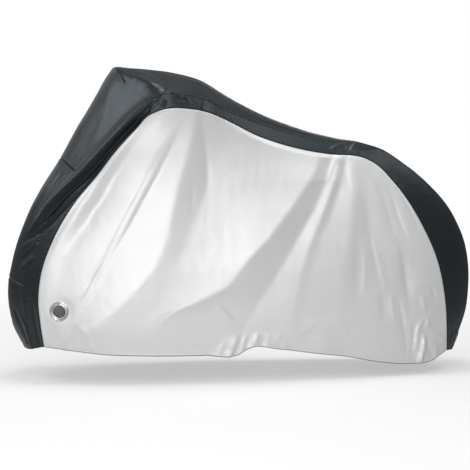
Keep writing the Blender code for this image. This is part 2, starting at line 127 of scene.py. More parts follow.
def splineAt(points, knots, where):
    # a smooth curve that passes each point at its knot
    gaps = np.diff(knots)
    secants = np.diff(points, axis=0) / gaps[:, None]
    share = (gaps[:-1] / (gaps[:-1] + gaps[1:]))[:, None]
    inner = secants[:-1] * (1.0 - share) + secants[1:] * share
    slopes = np.vstack([secants[:1], inner, secants[-1:]])
    span = np.clip(np.searchsorted(knots, where, side="right") - 1, 0, len(gaps) - 1)
    width = gaps[span][:, None]
    t = ((where - knots[span]) / gaps[span])[:, None]
    return (
        points[span] * (2 * t**3 - 3 * t**2 + 1)
        + slopes[span] * width * (t**3 - 2 * t**2 + t)
        + points[span + 1] * (3 * t**2 - 2 * t**3)
        + slopes[span + 1] * width * (t**3 - t**2)
    )


crownLine = np.array([(row.crownX, 0.0, row.crownZ) for row in stations]) + toFrame
seamLine = np.array([(row.seamX, -row.seamY, row.seamZ) for row in stations]) + toFrame
edgeLine = np.array([(row.edgeX, -row.edgeY, row.edgeZ) for row in stations]) + toFrame
hemLine = np.array([(x, -y, z) for x, y, z in hemPlaces]) + toFrame
bandKnots = (chordKnots(crownLine) + chordKnots(seamLine) + chordKnots(edgeLine)) / 3.0
bandEnd = bandKnots[-1]
stationKnot = {row.name: knot for row, knot in zip(stations, bandKnots)}

# Fine readings of the band's lines, to find places on them by length or by coordinate.
fineKnots = np.linspace(0.0, bandEnd, 3001)
fineEdge = splineAt(edgeLine, bandKnots, fineKnots)
fineCrown = splineAt(crownLine, bandKnots, fineKnots)
edgeLengths = chordKnots(fineEdge)


def knotPast(line, axis, place):
    # the first knot where a line passes a coordinate
    return fineKnots[np.argmax(line[:, axis] >= place + toFrame[axis])]


turnKnots = [0.0, knotPast(fineEdge, 0, cut["hoodTurnX"]), knotPast(fineEdge, 0, cut["tailTurnX"]), bandEnd]
noseSeamKnot = knotPast(fineCrown, 2, cut["lowerCrossSeamZ"])
browSeamKnot = knotPast(fineCrown, 2, cut["upperCrossSeamZ"])
gussetSeamKnot = knotPast(fineEdge, 0, cut["gussetCrossSeamX"])

# How crisp the seam ridge between the gusset and the centre strip is: 0 is round, 1 is a fold.
ridgeCrispness = {
    "front hem": 0.45,
    "nose": 0.55,
    "brow foot": 0.75,
    "hood front": 0.90,
    "hood tip": 0.85,
    "hood back": 0.45,
    "low back": 0.45,
    "hump end": 0.60,
    "tail turn": 0.50,
    "rear hem": 0.45,
}


def bandGrid(along, across):
    # across is -2 at the near edge, -1 at the near seam, 0 at the crown, 1 and 2 on the far side
    edge, seam, crown = (splineAt(line, bandKnots, along) for line in (edgeLine, seamLine, crownLine))
    crisp = np.interp(along, [stationKnot[name] for name in ridgeCrispness], list(ridgeCrispness.values()))
    grid = np.empty((len(along), len(across), 3))
    inStrip = np.abs(across) <= 1.0
    for column in range(len(along)):
        near = [edge[column], seam[column], crown[column]]
        five = np.array([*near, near[1] * mirror, near[0] * mirror])
        knots = chordKnots(five)
        where = np.interp(across, [-2.0, -1.0, 0.0, 1.0, 2.0], knots)
        rounded = splineAt(five, knots, where)
        strip = splineAt(five[1:4], knots[1:4], where)
        flat = np.stack([np.interp(where, knots, five[:, axis]) for axis in range(3)], axis=1)
        folded = np.where(inStrip[:, None], strip, flat)
        grid[column] = rounded * (1.0 - crisp[column]) + folded * crisp[column]
    return grid


def edgeKnots(turn, nextTurn, shares):
    # knots of the near edge at even shares of its length between two of its turns
    start, end = np.interp([turnKnots[turn], turnKnots[nextTurn]], fineKnots, edgeLengths)
    return np.interp(start + (end - start) * shares, edgeLengths, fineKnots)


def hemStretch(shares):
    knots = chordKnots(hemLine)
    fine = splineAt(hemLine, knots, np.linspace(0.0, knots[-1], 2001))
    lengths = chordKnots(fine)
    return np.stack([np.interp(shares * lengths[-1], lengths, fine[:, axis]) for axis in range(3)], axis=1)


def panelEdges(along, up):
    # knots of the panel's sewn edge: up its front, along its top and up its back
    return edgeKnots(0, 1, up), edgeKnots(1, 2, along), edgeKnots(3, 2, up)


def panelGrid(along, up):
    # the near panel stretched between its sewn edge and its hem; both shares run from 0 to 1
    front, top, back = (splineAt(edgeLine, bandKnots, knots) for knots in panelEdges(along, up))
    hem = hemStretch(along)
    u, v = along[:, None, None], up[None, :, None]
    across = hem[:, None] * (1 - v) + top[:, None] * v
    lengthwise = front[None] * (1 - u) + back[None] * u
    corners = (front[0] * (1 - u) + back[0] * u) * (1 - v) + (front[-1] * (1 - u) + back[-1] * u) * v
    return across + lengthwise - corners


def gridNormals(grid):
    # outward for grids that run from the nose to the tail and from the near side up and over
    normals = np.cross(np.gradient(grid, axis=0), np.gradient(grid, axis=1))
    lengths = np.linalg.norm(normals, axis=2, keepdims=True)
    return normals / np.maximum(lengths, 1e-12)


def gridArcs(grid, axis):
    steps = np.linalg.norm(np.diff(grid, axis=axis), axis=2)
    start = np.zeros_like(np.take(steps, [0], axis=axis))
    return np.cumsum(np.concatenate([start, steps], axis=axis), axis=axis)


def seenFrom(values, side):
    # a grid turned so that its first rows lie along one of its borders
    turned = values.swapaxes(0, 1) if side in ("low", "high") else values
    return turned[::-1] if side in ("end", "high") else turned


# A main fold line runs from the top to the hem: how soft it is, in millimetres, and its places, each x, z
# and how far out the cloth stands there in millimetres. Between two lines the cloth is a flat facet.
nearFolds = {
    "nose crest": (10, [
        (-0.392, 0.945, 1), (-0.452, 0.866, 7), (-0.49, 0.812, 11), (-0.518, 0.768, 12), (-0.537, 0.74, 13),
        (-0.566, 0.682, 13), (-0.602, 0.631, 13), (-0.627, 0.588, 12), (-0.65, 0.552, 9),
        (-0.678, 0.509, 7), (-0.699, 0.466, 4), (-0.735, 0.2, 0),
    ]),
    "nose trough": (12, [
        (-0.352, 0.945, -3), (-0.408, 0.866, -8), (-0.442, 0.812, -12), (-0.468, 0.768, -14),
        (-0.486, 0.74, -15), (-0.514, 0.682, -15), (-0.55, 0.631, -14), (-0.575, 0.588, -11),
        (-0.597, 0.552, -8), (-0.626, 0.509, -5), (-0.65, 0.466, -2), (-0.712, 0.2, 0),
    ]),
    "crease left": (8, [
        (-0.238, 0.973, 3), (-0.285, 0.898, 7), (-0.32, 0.841, 9), (-0.355, 0.769, 10), (-0.387, 0.708, 11),
        (-0.419, 0.661, 11), (-0.462, 0.567, 9), (-0.499, 0.496, 7), (-0.539, 0.41, 4), (-0.588, 0.308, 1),
        (-0.625, 0.264, 0), (-0.675, 0.13, 0),
    ]),
    "crease right": (8, [
        (-0.226, 0.969, 3), (-0.239, 0.93, 5), (-0.275, 0.848, 8), (-0.32, 0.758, 9), (-0.381, 0.654, 9),
        (-0.41, 0.586, 8), (-0.446, 0.518, 7), (-0.482, 0.46, 5), (-0.515, 0.392, 3), (-0.57, 0.3, 0),
        (-0.618, 0.235, 0), (-0.665, 0.13, 0),
    ]),
    "hood ridge": (11, [
        (-0.182, 0.983, 9), (-0.19, 0.919, 17), (-0.208, 0.847, 24), (-0.229, 0.775, 29),
        (-0.25, 0.703, 32), (-0.277, 0.594, 38), (-0.291, 0.522, 39), (-0.333, 0.432, 36),
        (-0.388, 0.361, 30), (-0.424, 0.326, 26), (-0.478, 0.272, 20), (-0.532, 0.235, 15),
        (-0.585, 0.198, 11), (-0.638, 0.161, 8), (-0.655, 0.12, 6),
    ]),
    "wedge bottom": (14, [
        (-0.166, 0.983, 1), (-0.146, 0.883, 6), (-0.135, 0.792, 11), (-0.135, 0.737, 15),
        (-0.155, 0.664, 20), (-0.182, 0.61, 26), (-0.218, 0.519, 33), (-0.262, 0.41, 33),
        (-0.305, 0.31, 25), (-0.39, 0.2, 13), (-0.432, 0.12, 6),
    ]),
    "middle field": (40, [
        (-0.082, 0.955, 5), (-0.06, 0.85, 14), (-0.062, 0.74, 24), (-0.085, 0.63, 32), (-0.11, 0.52, 40),
        (-0.15, 0.41, 41), (-0.235, 0.3, 30), (-0.35, 0.2, 15), (-0.385, 0.12, 5),
    ]),
    "long crest": (9, [
        (0.285, 0.87, 7), (0.278, 0.79, 28), (0.245, 0.735, 45), (0.163, 0.625, 64), (0.074, 0.517, 69),
        (0.017, 0.463, 67), (-0.022, 0.417, 62), (-0.059, 0.366, 55), (-0.085, 0.345, 51),
        (-0.17, 0.303, 39), (-0.225, 0.282, 33), (-0.28, 0.262, 27), (-0.309, 0.244, 22),
        (-0.33, 0.215, 17), (-0.345, 0.17, 11), (-0.353, 0.12, 6),
    ]),
    "long valley": (9, [
        (0.34, 0.86, 1), (0.326, 0.79, 5), (0.31, 0.734, 19), (0.255, 0.623, 33), (0.185, 0.514, 34),
        (0.12, 0.405, 25), (0.048, 0.297, 7), (-0.01, 0.189, -5), (-0.03, 0.12, -8),
    ]),
    "hump crest": (6, [
        (0.366, 0.855, 4), (0.362, 0.79, 10), (0.344, 0.733, 24), (0.297, 0.623, 41), (0.246, 0.514, 45),
        (0.205, 0.405, 37), (0.184, 0.295, 24), (0.166, 0.184, 9), (0.152, 0.12, 4),
    ]),
    "hump trough": (9, [
        (0.396, 0.848, 0), (0.389, 0.79, 0), (0.372, 0.733, 10), (0.342, 0.66, 23), (0.318, 0.6, 33),
        (0.276, 0.513, 40), (0.244, 0.404, 34), (0.226, 0.293, 22), (0.21, 0.183, 8), (0.196, 0.12, 4),
    ]),
    "light crest": (14, [
        (0.414, 0.838, 1), (0.414, 0.751, 11), (0.413, 0.658, 28), (0.404, 0.577, 37), (0.385, 0.493, 42),
        (0.375, 0.42, 38), (0.366, 0.29, 23), (0.376, 0.179, 9), (0.385, 0.11, 4),
    ]),
    "rear hollow": (16, [
        (0.453, 0.828, 0), (0.457, 0.732, 5), (0.463, 0.602, 18), (0.474, 0.473, 25), (0.486, 0.36, 20),
        (0.492, 0.25, 12), (0.495, 0.1, 3),
    ]),
    "rear trough": (16, [
        (0.51, 0.785, -1), (0.518, 0.713, 2), (0.531, 0.602, 9), (0.545, 0.49, 13), (0.58, 0.396, 11),
        (0.612, 0.321, 6), (0.612, 0.228, 2), (0.626, 0.1, -1),
    ]),
    "rear crest": (12, [
        (0.53, 0.775, 0), (0.552, 0.694, 0), (0.571, 0.638, 2), (0.59, 0.563, 3), (0.619, 0.489, 3),
        (0.655, 0.414, 3), (0.69, 0.31, 2), (0.7, 0.2, 0), (0.7, 0.1, 0),
    ]),
}
farFolds = {
    "nose crest": (14, [
        (-0.42, 0.93, 0), (-0.53, 0.76, 3), (-0.62, 0.6, 3), (-0.7, 0.47, 0), (-0.735, 0.2, 0),
    ]),
    "nose trough": (12, [
        (-0.38, 0.93, -2), (-0.47, 0.76, -9), (-0.56, 0.6, -8), (-0.67, 0.45, -1), (-0.72, 0.2, 0),
    ]),
    "hood ridge": (16, [
        (-0.21, 0.96, 3), (-0.26, 0.8, 14), (-0.31, 0.62, 20), (-0.38, 0.45, 17), (-0.46, 0.28, 10),
        (-0.55, 0.11, 5),
    ]),
    "wedge bottom": (12, [
        (-0.17, 0.96, 1), (-0.13, 0.8, -1), (-0.15, 0.62, 4), (-0.2, 0.45, 6), (-0.26, 0.28, 5),
        (-0.33, 0.11, 2),
    ]),
    "middle field": (26, [
        (0, 0.93, 2), (0.01, 0.8, 6), (-0.02, 0.62, 12), (-0.06, 0.45, 14), (-0.12, 0.28, 12),
        (-0.18, 0.11, 6),
    ]),
    "long crest": (5, [
        (0.25, 0.86, 2), (0.22, 0.76, 12), (0.15, 0.6, 22), (0.07, 0.45, 24), (-0.02, 0.3, 18),
        (-0.1, 0.11, 9),
    ]),
    "long valley": (9, [
        (0.3, 0.85, 0), (0.29, 0.76, 0), (0.24, 0.6, 4), (0.16, 0.45, 5), (0.09, 0.3, 1), (0.03, 0.11, -4),
    ]),
    "hump crest": (8, [
        (0.36, 0.85, 2), (0.36, 0.76, 6), (0.33, 0.6, 13), (0.27, 0.45, 14), (0.22, 0.3, 11),
        (0.18, 0.11, 5),
    ]),
    "hump trough": (12, [
        (0.42, 0.84, -2), (0.42, 0.76, -5), (0.4, 0.6, 4), (0.36, 0.45, 6), (0.33, 0.3, 4), (0.31, 0.11, 0),
    ]),
    "light crest": (14, [
        (0.46, 0.82, 0), (0.48, 0.72, 2), (0.49, 0.58, 7), (0.48, 0.43, 8), (0.48, 0.28, 5),
        (0.47, 0.09, 0),
    ]),
    "rear trough": (16, [
        (0.51, 0.79, -1), (0.55, 0.7, -5), (0.59, 0.56, -5), (0.61, 0.41, -6), (0.62, 0.26, -5),
        (0.63, 0.09, -3),
    ]),
    "rear crest": (16, [
        (0.53, 0.78, 0), (0.6, 0.67, 0), (0.66, 0.53, 0), (0.7, 0.39, 0), (0.71, 0.24, 0), (0.71, 0.09, 0),
    ]),
}

# A small fold lies on the main ones: how far it reaches to the front and to the back of its line and its
# height, in millimetres, and the line as (x, z) places.
nearSmallFolds = {
    "double crease, left": (5, 7, -2.2, [
        (-0.232, 0.975), (-0.316, 0.841), (-0.383, 0.708), (-0.458, 0.567), (-0.535, 0.41), (-0.588, 0.308),
        (-0.635, 0.262),
    ]),
    "double crease, lower": (4, 5, -3.2, [
        (-0.5, 0.47), (-0.535, 0.41), (-0.567, 0.352), (-0.598, 0.297), (-0.631, 0.264),
    ]),
    "double crease, right": (6, 4, -2.6, [
        (-0.232, 0.969), (-0.281, 0.848), (-0.351, 0.708), (-0.416, 0.586), (-0.488, 0.46), (-0.53, 0.37),
    ]),
    "band between": (10, 10, 2.4, [(-0.297, 0.85), (-0.352, 0.735), (-0.42, 0.615), (-0.48, 0.5)]),
    "hem crease": (6, 3, 6.5, [(-0.126, 0.295), (-0.079, 0.255), (-0.032, 0.207)]),
    "tent": (34, 44, 6, [(0.3, 0.24), (0.292, 0.19), (0.282, 0.125)]),
    "tent, left leg": (16, 7, 2.4, [(0.3, 0.236), (0.232, 0.19), (0.16, 0.136)]),
    "tent, right leg": (7, 18, 2.4, [(0.3, 0.236), (0.357, 0.194), (0.396, 0.134)]),
    "tail wedge": (7, 3, 15, [(0.69, 0.162), (0.688, 0.11), (0.676, 0.05)]),
    "tail tuck": (3, 6, -6, [(0.694, 0.15), (0.706, 0.105), (0.722, 0.072)]),
    "tail gather a": (5, 4, 5.5, [(0.655, 0.1), (0.664, 0.177), (0.694, 0.227)]),
    "tail gather b": (3, 4, 5, [(0.694, 0.227), (0.703, 0.198), (0.69, 0.166)]),
    "tail gather c": (4, 4, -5, [(0.7, 0.2), (0.73, 0.178), (0.778, 0.17)]),
    "tail gather d": (5, 5, 5.5, [(0.69, 0.167), (0.73, 0.155), (0.782, 0.126)]),
    "tail gather e": (5, 6, 4, [(0.698, 0.228), (0.685, 0.262), (0.677, 0.312)]),
    "tail gather f": (5, 5, -4, [(0.64, 0.09), (0.646, 0.15), (0.652, 0.205)]),
    "tail gather g": (4, 4, 4, [(0.741, 0.06), (0.742, 0.09), (0.74, 0.118)]),
    "hem wedge": (16, 4, 9, [(-0.058, 0.09), (-0.04, 0.14), (-0.024, 0.178)]),
    "hem gather a": (6, 6, 3, [(-0.104, 0.09), (-0.094, 0.119), (-0.076, 0.152)]),
    "hem gather b": (4, 5, 4.5, [(-0.016, 0.105), (-0.007, 0.15), (0.001, 0.18)]),
    "hem gather c": (4, 3, -3.5, [(0.004, 0.112), (0.008, 0.14), (0.014, 0.172)]),
    "hem gather d": (9, 4, 6.5, [(0.022, 0.112), (0.038, 0.15), (0.05, 0.182)]),
    "hem gather e": (5, 6, -3, [(0.052, 0.112), (0.062, 0.14), (0.07, 0.168)]),
    "hem gather f": (9, 8, 3.5, [(0.072, 0.112), (0.081, 0.149), (0.087, 0.184)]),
    "hem gather g": (10, 10, 2.5, [(0.098, 0.11), (0.119, 0.155), (0.136, 0.19)]),
    "front roll": (20, 22, 3, [(-0.631, 0.191), (-0.539, 0.202), (-0.453, 0.221)]),
    "hump band": (3, 3, 2.2, [(0.362, 0.825), (0.328, 0.763), (0.308, 0.715)]),
    "rear streak a": (11, 18, -3, [(0.424, 0.56), (0.42, 0.399), (0.418, 0.24)]),
    "rear streak b": (6, 7, 2.2, [(0.452, 0.5), (0.449, 0.4), (0.446, 0.29)]),
    "rear streak c": (5, 9, 2.2, [(0.47, 0.59), (0.505, 0.43), (0.548, 0.27)]),
    "rear streak d": (7, 6, -2.8, [(0.56, 0.7), (0.592, 0.59), (0.64, 0.48)]),
    "rear streak e": (6, 5, 3, [(0.55, 0.33), (0.558, 0.262), (0.57, 0.18)]),
    "rear streak f": (7, 6, -4, [(0.577, 0.322), (0.596, 0.228), (0.608, 0.164), (0.619, 0.1)]),
    "rear dent": (10, 34, -6, [(0.596, 0.48), (0.609, 0.39), (0.616, 0.28)]),
    "rear tuck": (8, 24, -4, [(0.514, 0.33), (0.521, 0.268), (0.528, 0.2)]),
    "hump dent": (9, 12, -2.6, [(0.382, 0.81), (0.391, 0.745), (0.404, 0.67)]),
    "rear fall a": (10, 30, -5, [(0.43, 0.8), (0.46, 0.639), (0.479, 0.509), (0.512, 0.3)]),
    "rear fall b": (7, 18, -3.6, [(0.5, 0.75), (0.536, 0.657), (0.565, 0.55), (0.59, 0.47)]),
    "rear fall c": (6, 16, -4, [(0.575, 0.56), (0.602, 0.44), (0.623, 0.284), (0.636, 0.18)]),
    "tail streak": (4, 6, -2.4, [(0.575, 0.75), (0.611, 0.672), (0.655, 0.58), (0.69, 0.49)]),
    "seam crease": (5, 5, -3, [(0.712, 0.345), (0.724, 0.31), (0.738, 0.272)]),
    "wedge core": (9, 10, -3.6, [(-0.168, 0.965), (-0.15, 0.85), (-0.142, 0.76), (-0.146, 0.66)]),
    "wedge side": (7, 7, -2.2, [(-0.2, 0.74), (-0.198, 0.69), (-0.196, 0.61)]),
    "eyelet pull a": (9, 7, 2.5, [(-0.638, 0.242), (-0.589, 0.191), (-0.56, 0.125)]),
    "eyelet pull b": (8, 8, 2, [(-0.674, 0.227), (-0.674, 0.182), (-0.681, 0.125)]),
    "eyelet pull c": (8, 10, 2, [(-0.638, 0.293), (-0.588, 0.337), (-0.546, 0.381)]),
}
farSmallFolds = {
    "double crease": (6, 6, -1.8, [(-0.24, 0.95), (-0.36, 0.72), (-0.5, 0.48), (-0.6, 0.28)]),
    "hem crease": (5, 4, 3.5, [(-0.06, 0.27), (-0.02, 0.22), (0.02, 0.18)]),
    "tent, left leg": (18, 9, 3, [(0.34, 0.24), (0.28, 0.19), (0.22, 0.13)]),
    "tent, right leg": (9, 18, 3, [(0.34, 0.24), (0.39, 0.19), (0.43, 0.13)]),
    "tail gather a": (8, 6, 4.5, [(0.7, 0.22), (0.72, 0.15), (0.75, 0.08)]),
    "tail gather b": (8, 8, 4, [(0.7, 0.22), (0.67, 0.15), (0.65, 0.08)]),
    "hem gather a": (6, 6, 4.5, [(-0.1, 0.09), (-0.1, 0.13), (-0.11, 0.17)]),
    "hem gather b": (6, 6, 5, [(-0.02, 0.09), (-0.02, 0.13), (-0.03, 0.17)]),
    "hem gather c": (6, 6, 5, [(0.06, 0.11), (0.06, 0.15), (0.05, 0.19)]),
    "eyelet pull a": (9, 7, 2.5, [(-0.64, 0.24), (-0.59, 0.19), (-0.56, 0.12)]),
    "eyelet pull b": (8, 10, 2, [(-0.64, 0.3), (-0.59, 0.35), (-0.55, 0.4)]),
}

panelShape = {
    "columns": 272,
    "rows": 156,
    "length": 1.5,           # about how much cloth the columns and the rows divide
    "height": 0.8,
    "seamFade": 0.020,       # main folds die out this near the sewn edge
    "smallFade": 0.02,       # and small ones this near
    "calmFade": 0.03,        # the cloth's own unevenness too
    "pucker": 0.0011,
    "waveHeight": 0.0011,    # slow unevenness of the whole cloth
    "waveSize": 0.16,
    "wrinkleHeight": 0.00045,
    "wrinkleSize": 0.028,
    "wrinkleSqueeze": 0.45,  # below 1 the wrinkles are longer from top to bottom
    "hemDepth": 0.016,
    "foldEnds": 0.42,        # share of a small fold's length over which each end rises
    "hemZone": 0.13,         # a small fold that starts or ends below this height runs into the hem
    "foldsFrom": -0.80,      # places in front of and behind the panel, where no fold stands out
    "foldsTo": 0.82,
    "leastFacet": 0.004,     # and the least distance between two main fold lines
}


def foldedOut(folds, x, z):
    # the facets between the main fold lines, each line rounded over by its softness
    lineX, lineOut, lineSoft = [], [], []
    for soft, places in sorted(folds.values(), key=lambda fold: np.mean([place[0] for place in fold[1]])):
        table = np.array(sorted(places, key=lambda place: place[1]))
        lineX.append(np.interp(z, table[:, 1], table[:, 0]))
        lineOut.append(np.interp(z, table[:, 1], table[:, 2]) * 0.001)
        lineSoft.append(np.full_like(z, soft * 0.001))
    lineX = [x * 0.0 + panelShape["foldsFrom"]] + lineX + [x * 0.0 + panelShape["foldsTo"]]
    lineOut = [x * 0.0] + lineOut + [x * 0.0]
    lineSoft = [lineSoft[0]] + lineSoft + [lineSoft[-1]]
    for index in range(1, len(lineX)):
        lineX[index] = np.maximum(lineX[index], lineX[index - 1] + panelShape["leastFacet"])

    def readAt(place, values):
        found = values[0] * 0.0
        for index in range(len(lineX) - 1):
            share = (place - lineX[index]) / (lineX[index + 1] - lineX[index])
            inside = (share >= 0.0) & (share < 1.0)
            found = np.where(inside, values[index] * (1 - share) + values[index + 1] * share, found)
        return found

    soft = readAt(x, lineSoft)
    total = x * 0.0
    weights = {-1.5: 1.0, -1.0: 2.0, -0.5: 3.0, 0.0: 4.0, 0.5: 3.0, 1.0: 2.0, 1.5: 1.0}
    for offset, weight in weights.items():
        total = total + readAt(x + soft * offset, lineOut) * weight
    return total / sum(weights.values())


def alongLine(line, x, z):
    # signed distance from a line of places, positive on its tail side, and the share of it passed
    best = np.full_like(x, 1e9)
    side = np.ones_like(x)
    passed = np.zeros_like(x)
    lengths = chordKnots(line)
    for index in range(len(line) - 1):
        start, step = line[index], line[index + 1] - line[index]
        share = np.clip(((x - start[0]) * step[0] + (z - start[1]) * step[1]) / (step @ step), 0.0, 1.0)
        awayX = x - (start[0] + step[0] * share)
        awayZ = z - (start[1] + step[1] * share)
        distance = np.hypot(awayX, awayZ)
        nearer = distance < best
        best = np.where(nearer, distance, best)
        side = np.where(nearer, np.sign(step[0] * awayZ - step[1] * awayX + 1e-12), side)
        along = (lengths[index] + share * (lengths[index + 1] - lengths[index])) / lengths[-1]
        passed = np.where(nearer, along, passed)
    return best * side, passed


def smoothLine(places, count=24):
    points = np.array(places, float)
    knots = chordKnots(points)
    return splineAt(points, knots, np.linspace(0.0, knots[-1], count))


def ridgeProfile(distance, before, after):
    # the section of a fold, with its own reach in millimetres on either side of its line
    reach = np.where(distance > 0.0, after, before) * 0.001
    return 1.0 / np.cosh(np.clip(distance / reach, -20.0, 20.0))


def smallFoldOut(folds, x, z):
    total = np.zeros_like(x)
    for front, back, height, places in folds.values():
        distance, passed = alongLine(smoothLine(places), x, z)
        if places[0][1] < places[-1][1]:
            distance = -distance
        rise = panelShape["foldEnds"]
        ends = smoothStep(passed / rise) * smoothStep((1.0 - passed) / rise)
        lowest = min(place[1] for place in places)
        if lowest < panelShape["hemZone"]:
            # it keeps its full height to the hem, past the middle of its length
            towardsHem = passed if places[-1][1] == lowest else 1.0 - passed
            ends = np.maximum(ends, smoothStep((towardsHem - 0.5) / 0.3))
        total = total + ridgeProfile(distance, front, back) * ends * height * 0.001
    return total


def noiseField(points, size, seed):
    shift = Vector((seed * 3.7, seed * 1.3, seed * 2.9))
    flat = points.reshape(-1, 3) / size
    values = np.array([noise.noise(Vector(place) + shift) for place in flat])
    return values.reshape(points.shape[:-1])


def uneven(points, shape, seed, wrinkleSeed, squeeze=1.0):
    # slow waves of the cloth and the fine wrinkles in it, apart
    waves = noiseField(points, shape["waveSize"], seed) * shape["waveHeight"]
    wrinkles = noiseField(points * np.array([1.0, 1.0, squeeze]), shape["wrinkleSize"], wrinkleSeed)
    return waves, wrinkles * shape["wrinkleHeight"]


seamForm = {
    "dip": 0.0021,           # the turned edge dips into the seam
    "dipReach": 0.0026,
    "lift": 0.0005,          # and the allowance under it lifts the cloth beside it
    "liftPlace": 0.0075,
    "liftReach": 0.0045,
    "gatherLength": 0.017,   # small gathers where the thread draws the cloth together
    "gatherReach": 0.014,
    "stiffReach": 0.003,     # the seam itself is too stiff for them
    "leanReach": 0.006,      # and this near it the cloth leans the way that both pieces do
}


def seamGroove(distance):
    dip = -seamForm["dip"] * np.exp(-((distance / seamForm["dipReach"]) ** 2))
    lift = seamForm["lift"] * np.exp(-(((distance - seamForm["liftPlace"]) / seamForm["liftReach"]) ** 2))
    return dip + lift


def seamPucker(distance, run, seed, height):
    wobble = 0.35 * np.sin(run * 37.0 + seed) + 0.25 * np.sin(run * 91.0 + seed * 2.0)
    waves = np.sin(run * math.tau / seamForm["gatherLength"] + 6.0 * wobble + seed)
    strength = 0.55 + 0.45 * np.sin(run * 23.0 + seed * 1.7)
    fade = np.exp(-distance / seamForm["gatherReach"])
    return height * strength * waves * fade * (1.0 - np.exp(-distance / seamForm["stiffReach"]))


def spacing(count, nearStart, length):
    # even shares from 0 to 1 with closer ones at the ends that are seams; the last end is always one
    close = np.array([0.0012, 0.0024, 0.0040, 0.0062, 0.0090]) / length
    shares = np.linspace(0.0, 1.0, count + 1)
    if nearStart:
        shares = np.concatenate([[0.0], close, shares[shares > close[-1] + 0.3 / count]])
    return np.concatenate([shares[shares < 1.0 - close[-1] - 0.3 / count], 1.0 - close[::-1], [1.0]])


print("curves and tables ready")


def placed(name, data):
    thing = bpy.data.objects.new(name, data)
    bpy.context.scene.collection.objects.link(thing)
    return thing


def gridFaces(columns, rows):
    corner = np.arange(columns * rows).reshape(columns, rows)
    cell = [corner[:-1, :-1], corner[1:, :-1], corner[1:, 1:], corner[:-1, 1:]]
    return np.stack(cell, axis=-1).reshape(-1, 4)


def meshObject(name, points, faces, material, uv=None):
    data = bpy.data.meshes.new(name)
    data.from_pydata([tuple(point) for point in points], [], [[int(i) for i in face] for face in faces])
    if uv is not None:
        layer = data.uv_layers.new(name="clothMap")
        corners = np.empty(len(data.loops), dtype=np.int32)
        data.loops.foreach_get("vertex_index", corners)
        layer.data.foreach_set("uv", np.asarray(uv, dtype=np.float32)[corners].ravel())
    data.materials.append(material)
    data.shade_smooth()
    data.validate()
    return placed(name, data)


def finishPiece(thing, slot, *nodes):
    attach(thing, "root")
    if nodes:
        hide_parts(*nodes)


def clothPiece(node, points, faces, material, slot, uv):
    # a sheet of cloth in the place of its CAD node, thickened inwards
    thing = meshObject(node + "_cloth", points, faces, material, uv)
    solid = thing.modifiers.new("thickness", "SOLIDIFY")
    solid.thickness = cut["thickness"]
    solid.offset = -1.0
    solid.use_rim = True
    finishPiece(thing, slot, node)


def hemSection(depth):
    # the rows of a turned hem: how far out of the cloth and how far up from its fold each lies
    fold = [(-0.0025, 0.0030), (-0.0021, 0.0004), (-0.0012, -0.0006)]
    return [(-0.0025, depth), (-0.0026, depth * 0.5), *fold]


def withTurnedHem(grid, out, side, depth):
    # extra rows beyond the free border: round the fold and back behind the cloth
    work, lean = seenFrom(grid, side), seenFrom(out, side)
    into = unit(work[3] - work[0])
    rows = np.stack([work[0] + lean[2] * inward + into * rise for inward, rise in hemSection(depth)])
    return seenFrom(np.concatenate([rows, work], axis=0), side)


def clothMap(grid):
    # metres along the weave in both directions, so the threads keep their size on every piece
    return np.stack([gridArcs(grid, 0), gridArcs(grid, 1)], axis=-1)


def borderDistances(grid, sewn):
    # metres of cloth from each place to a sewn border, and its place along that border
    along, across = gridArcs(grid, 0), gridArcs(grid, 1)
    found = {
        "start": (along, across),
        "end": (along[-1:] - along, across),
        "low": (across, along),
        "high": (across[:, -1:] - across, along),
    }
    return [found[side] for side in sewn]


def sewnOut(grid, sewn, seed, pucker):
    puckers = np.zeros(grid.shape[:2])
    nearest = np.full(grid.shape[:2], 1e9)
    for index, (distance, run) in enumerate(borderDistances(grid, sewn)):
        puckers += seamPucker(distance, run, seed + index * 1.9, pucker)
        nearest = np.minimum(nearest, distance)
    return puckers + seamGroove(nearest), nearest


def bandNormals(along, across):
    reach = 0.004
    share = 0.04
    ahead = bandGrid(np.minimum(along + reach, bandEnd), across)
    behind = bandGrid(np.maximum(along - reach, 0.0), across)
    over = bandGrid(along, np.minimum(across + share, 2.0))
    under = bandGrid(along, np.maximum(across - share, -2.0))
    return unit(np.cross(ahead - behind, over - under))


def edgeSeamOut(along):
    # the seam between gusset and side panel sinks halfway between the two cloths' own directions
    return unit(bandNormals(along, np.array([-2.0]))[:, 0] + np.array([0.0, -1.0, 0.0]))


def blendTowards(normals, target, distance):
    weight = np.exp(-((distance / seamForm["leanReach"]) ** 2))[..., None]
    return unit(normals * (1.0 - weight) + target * weight)


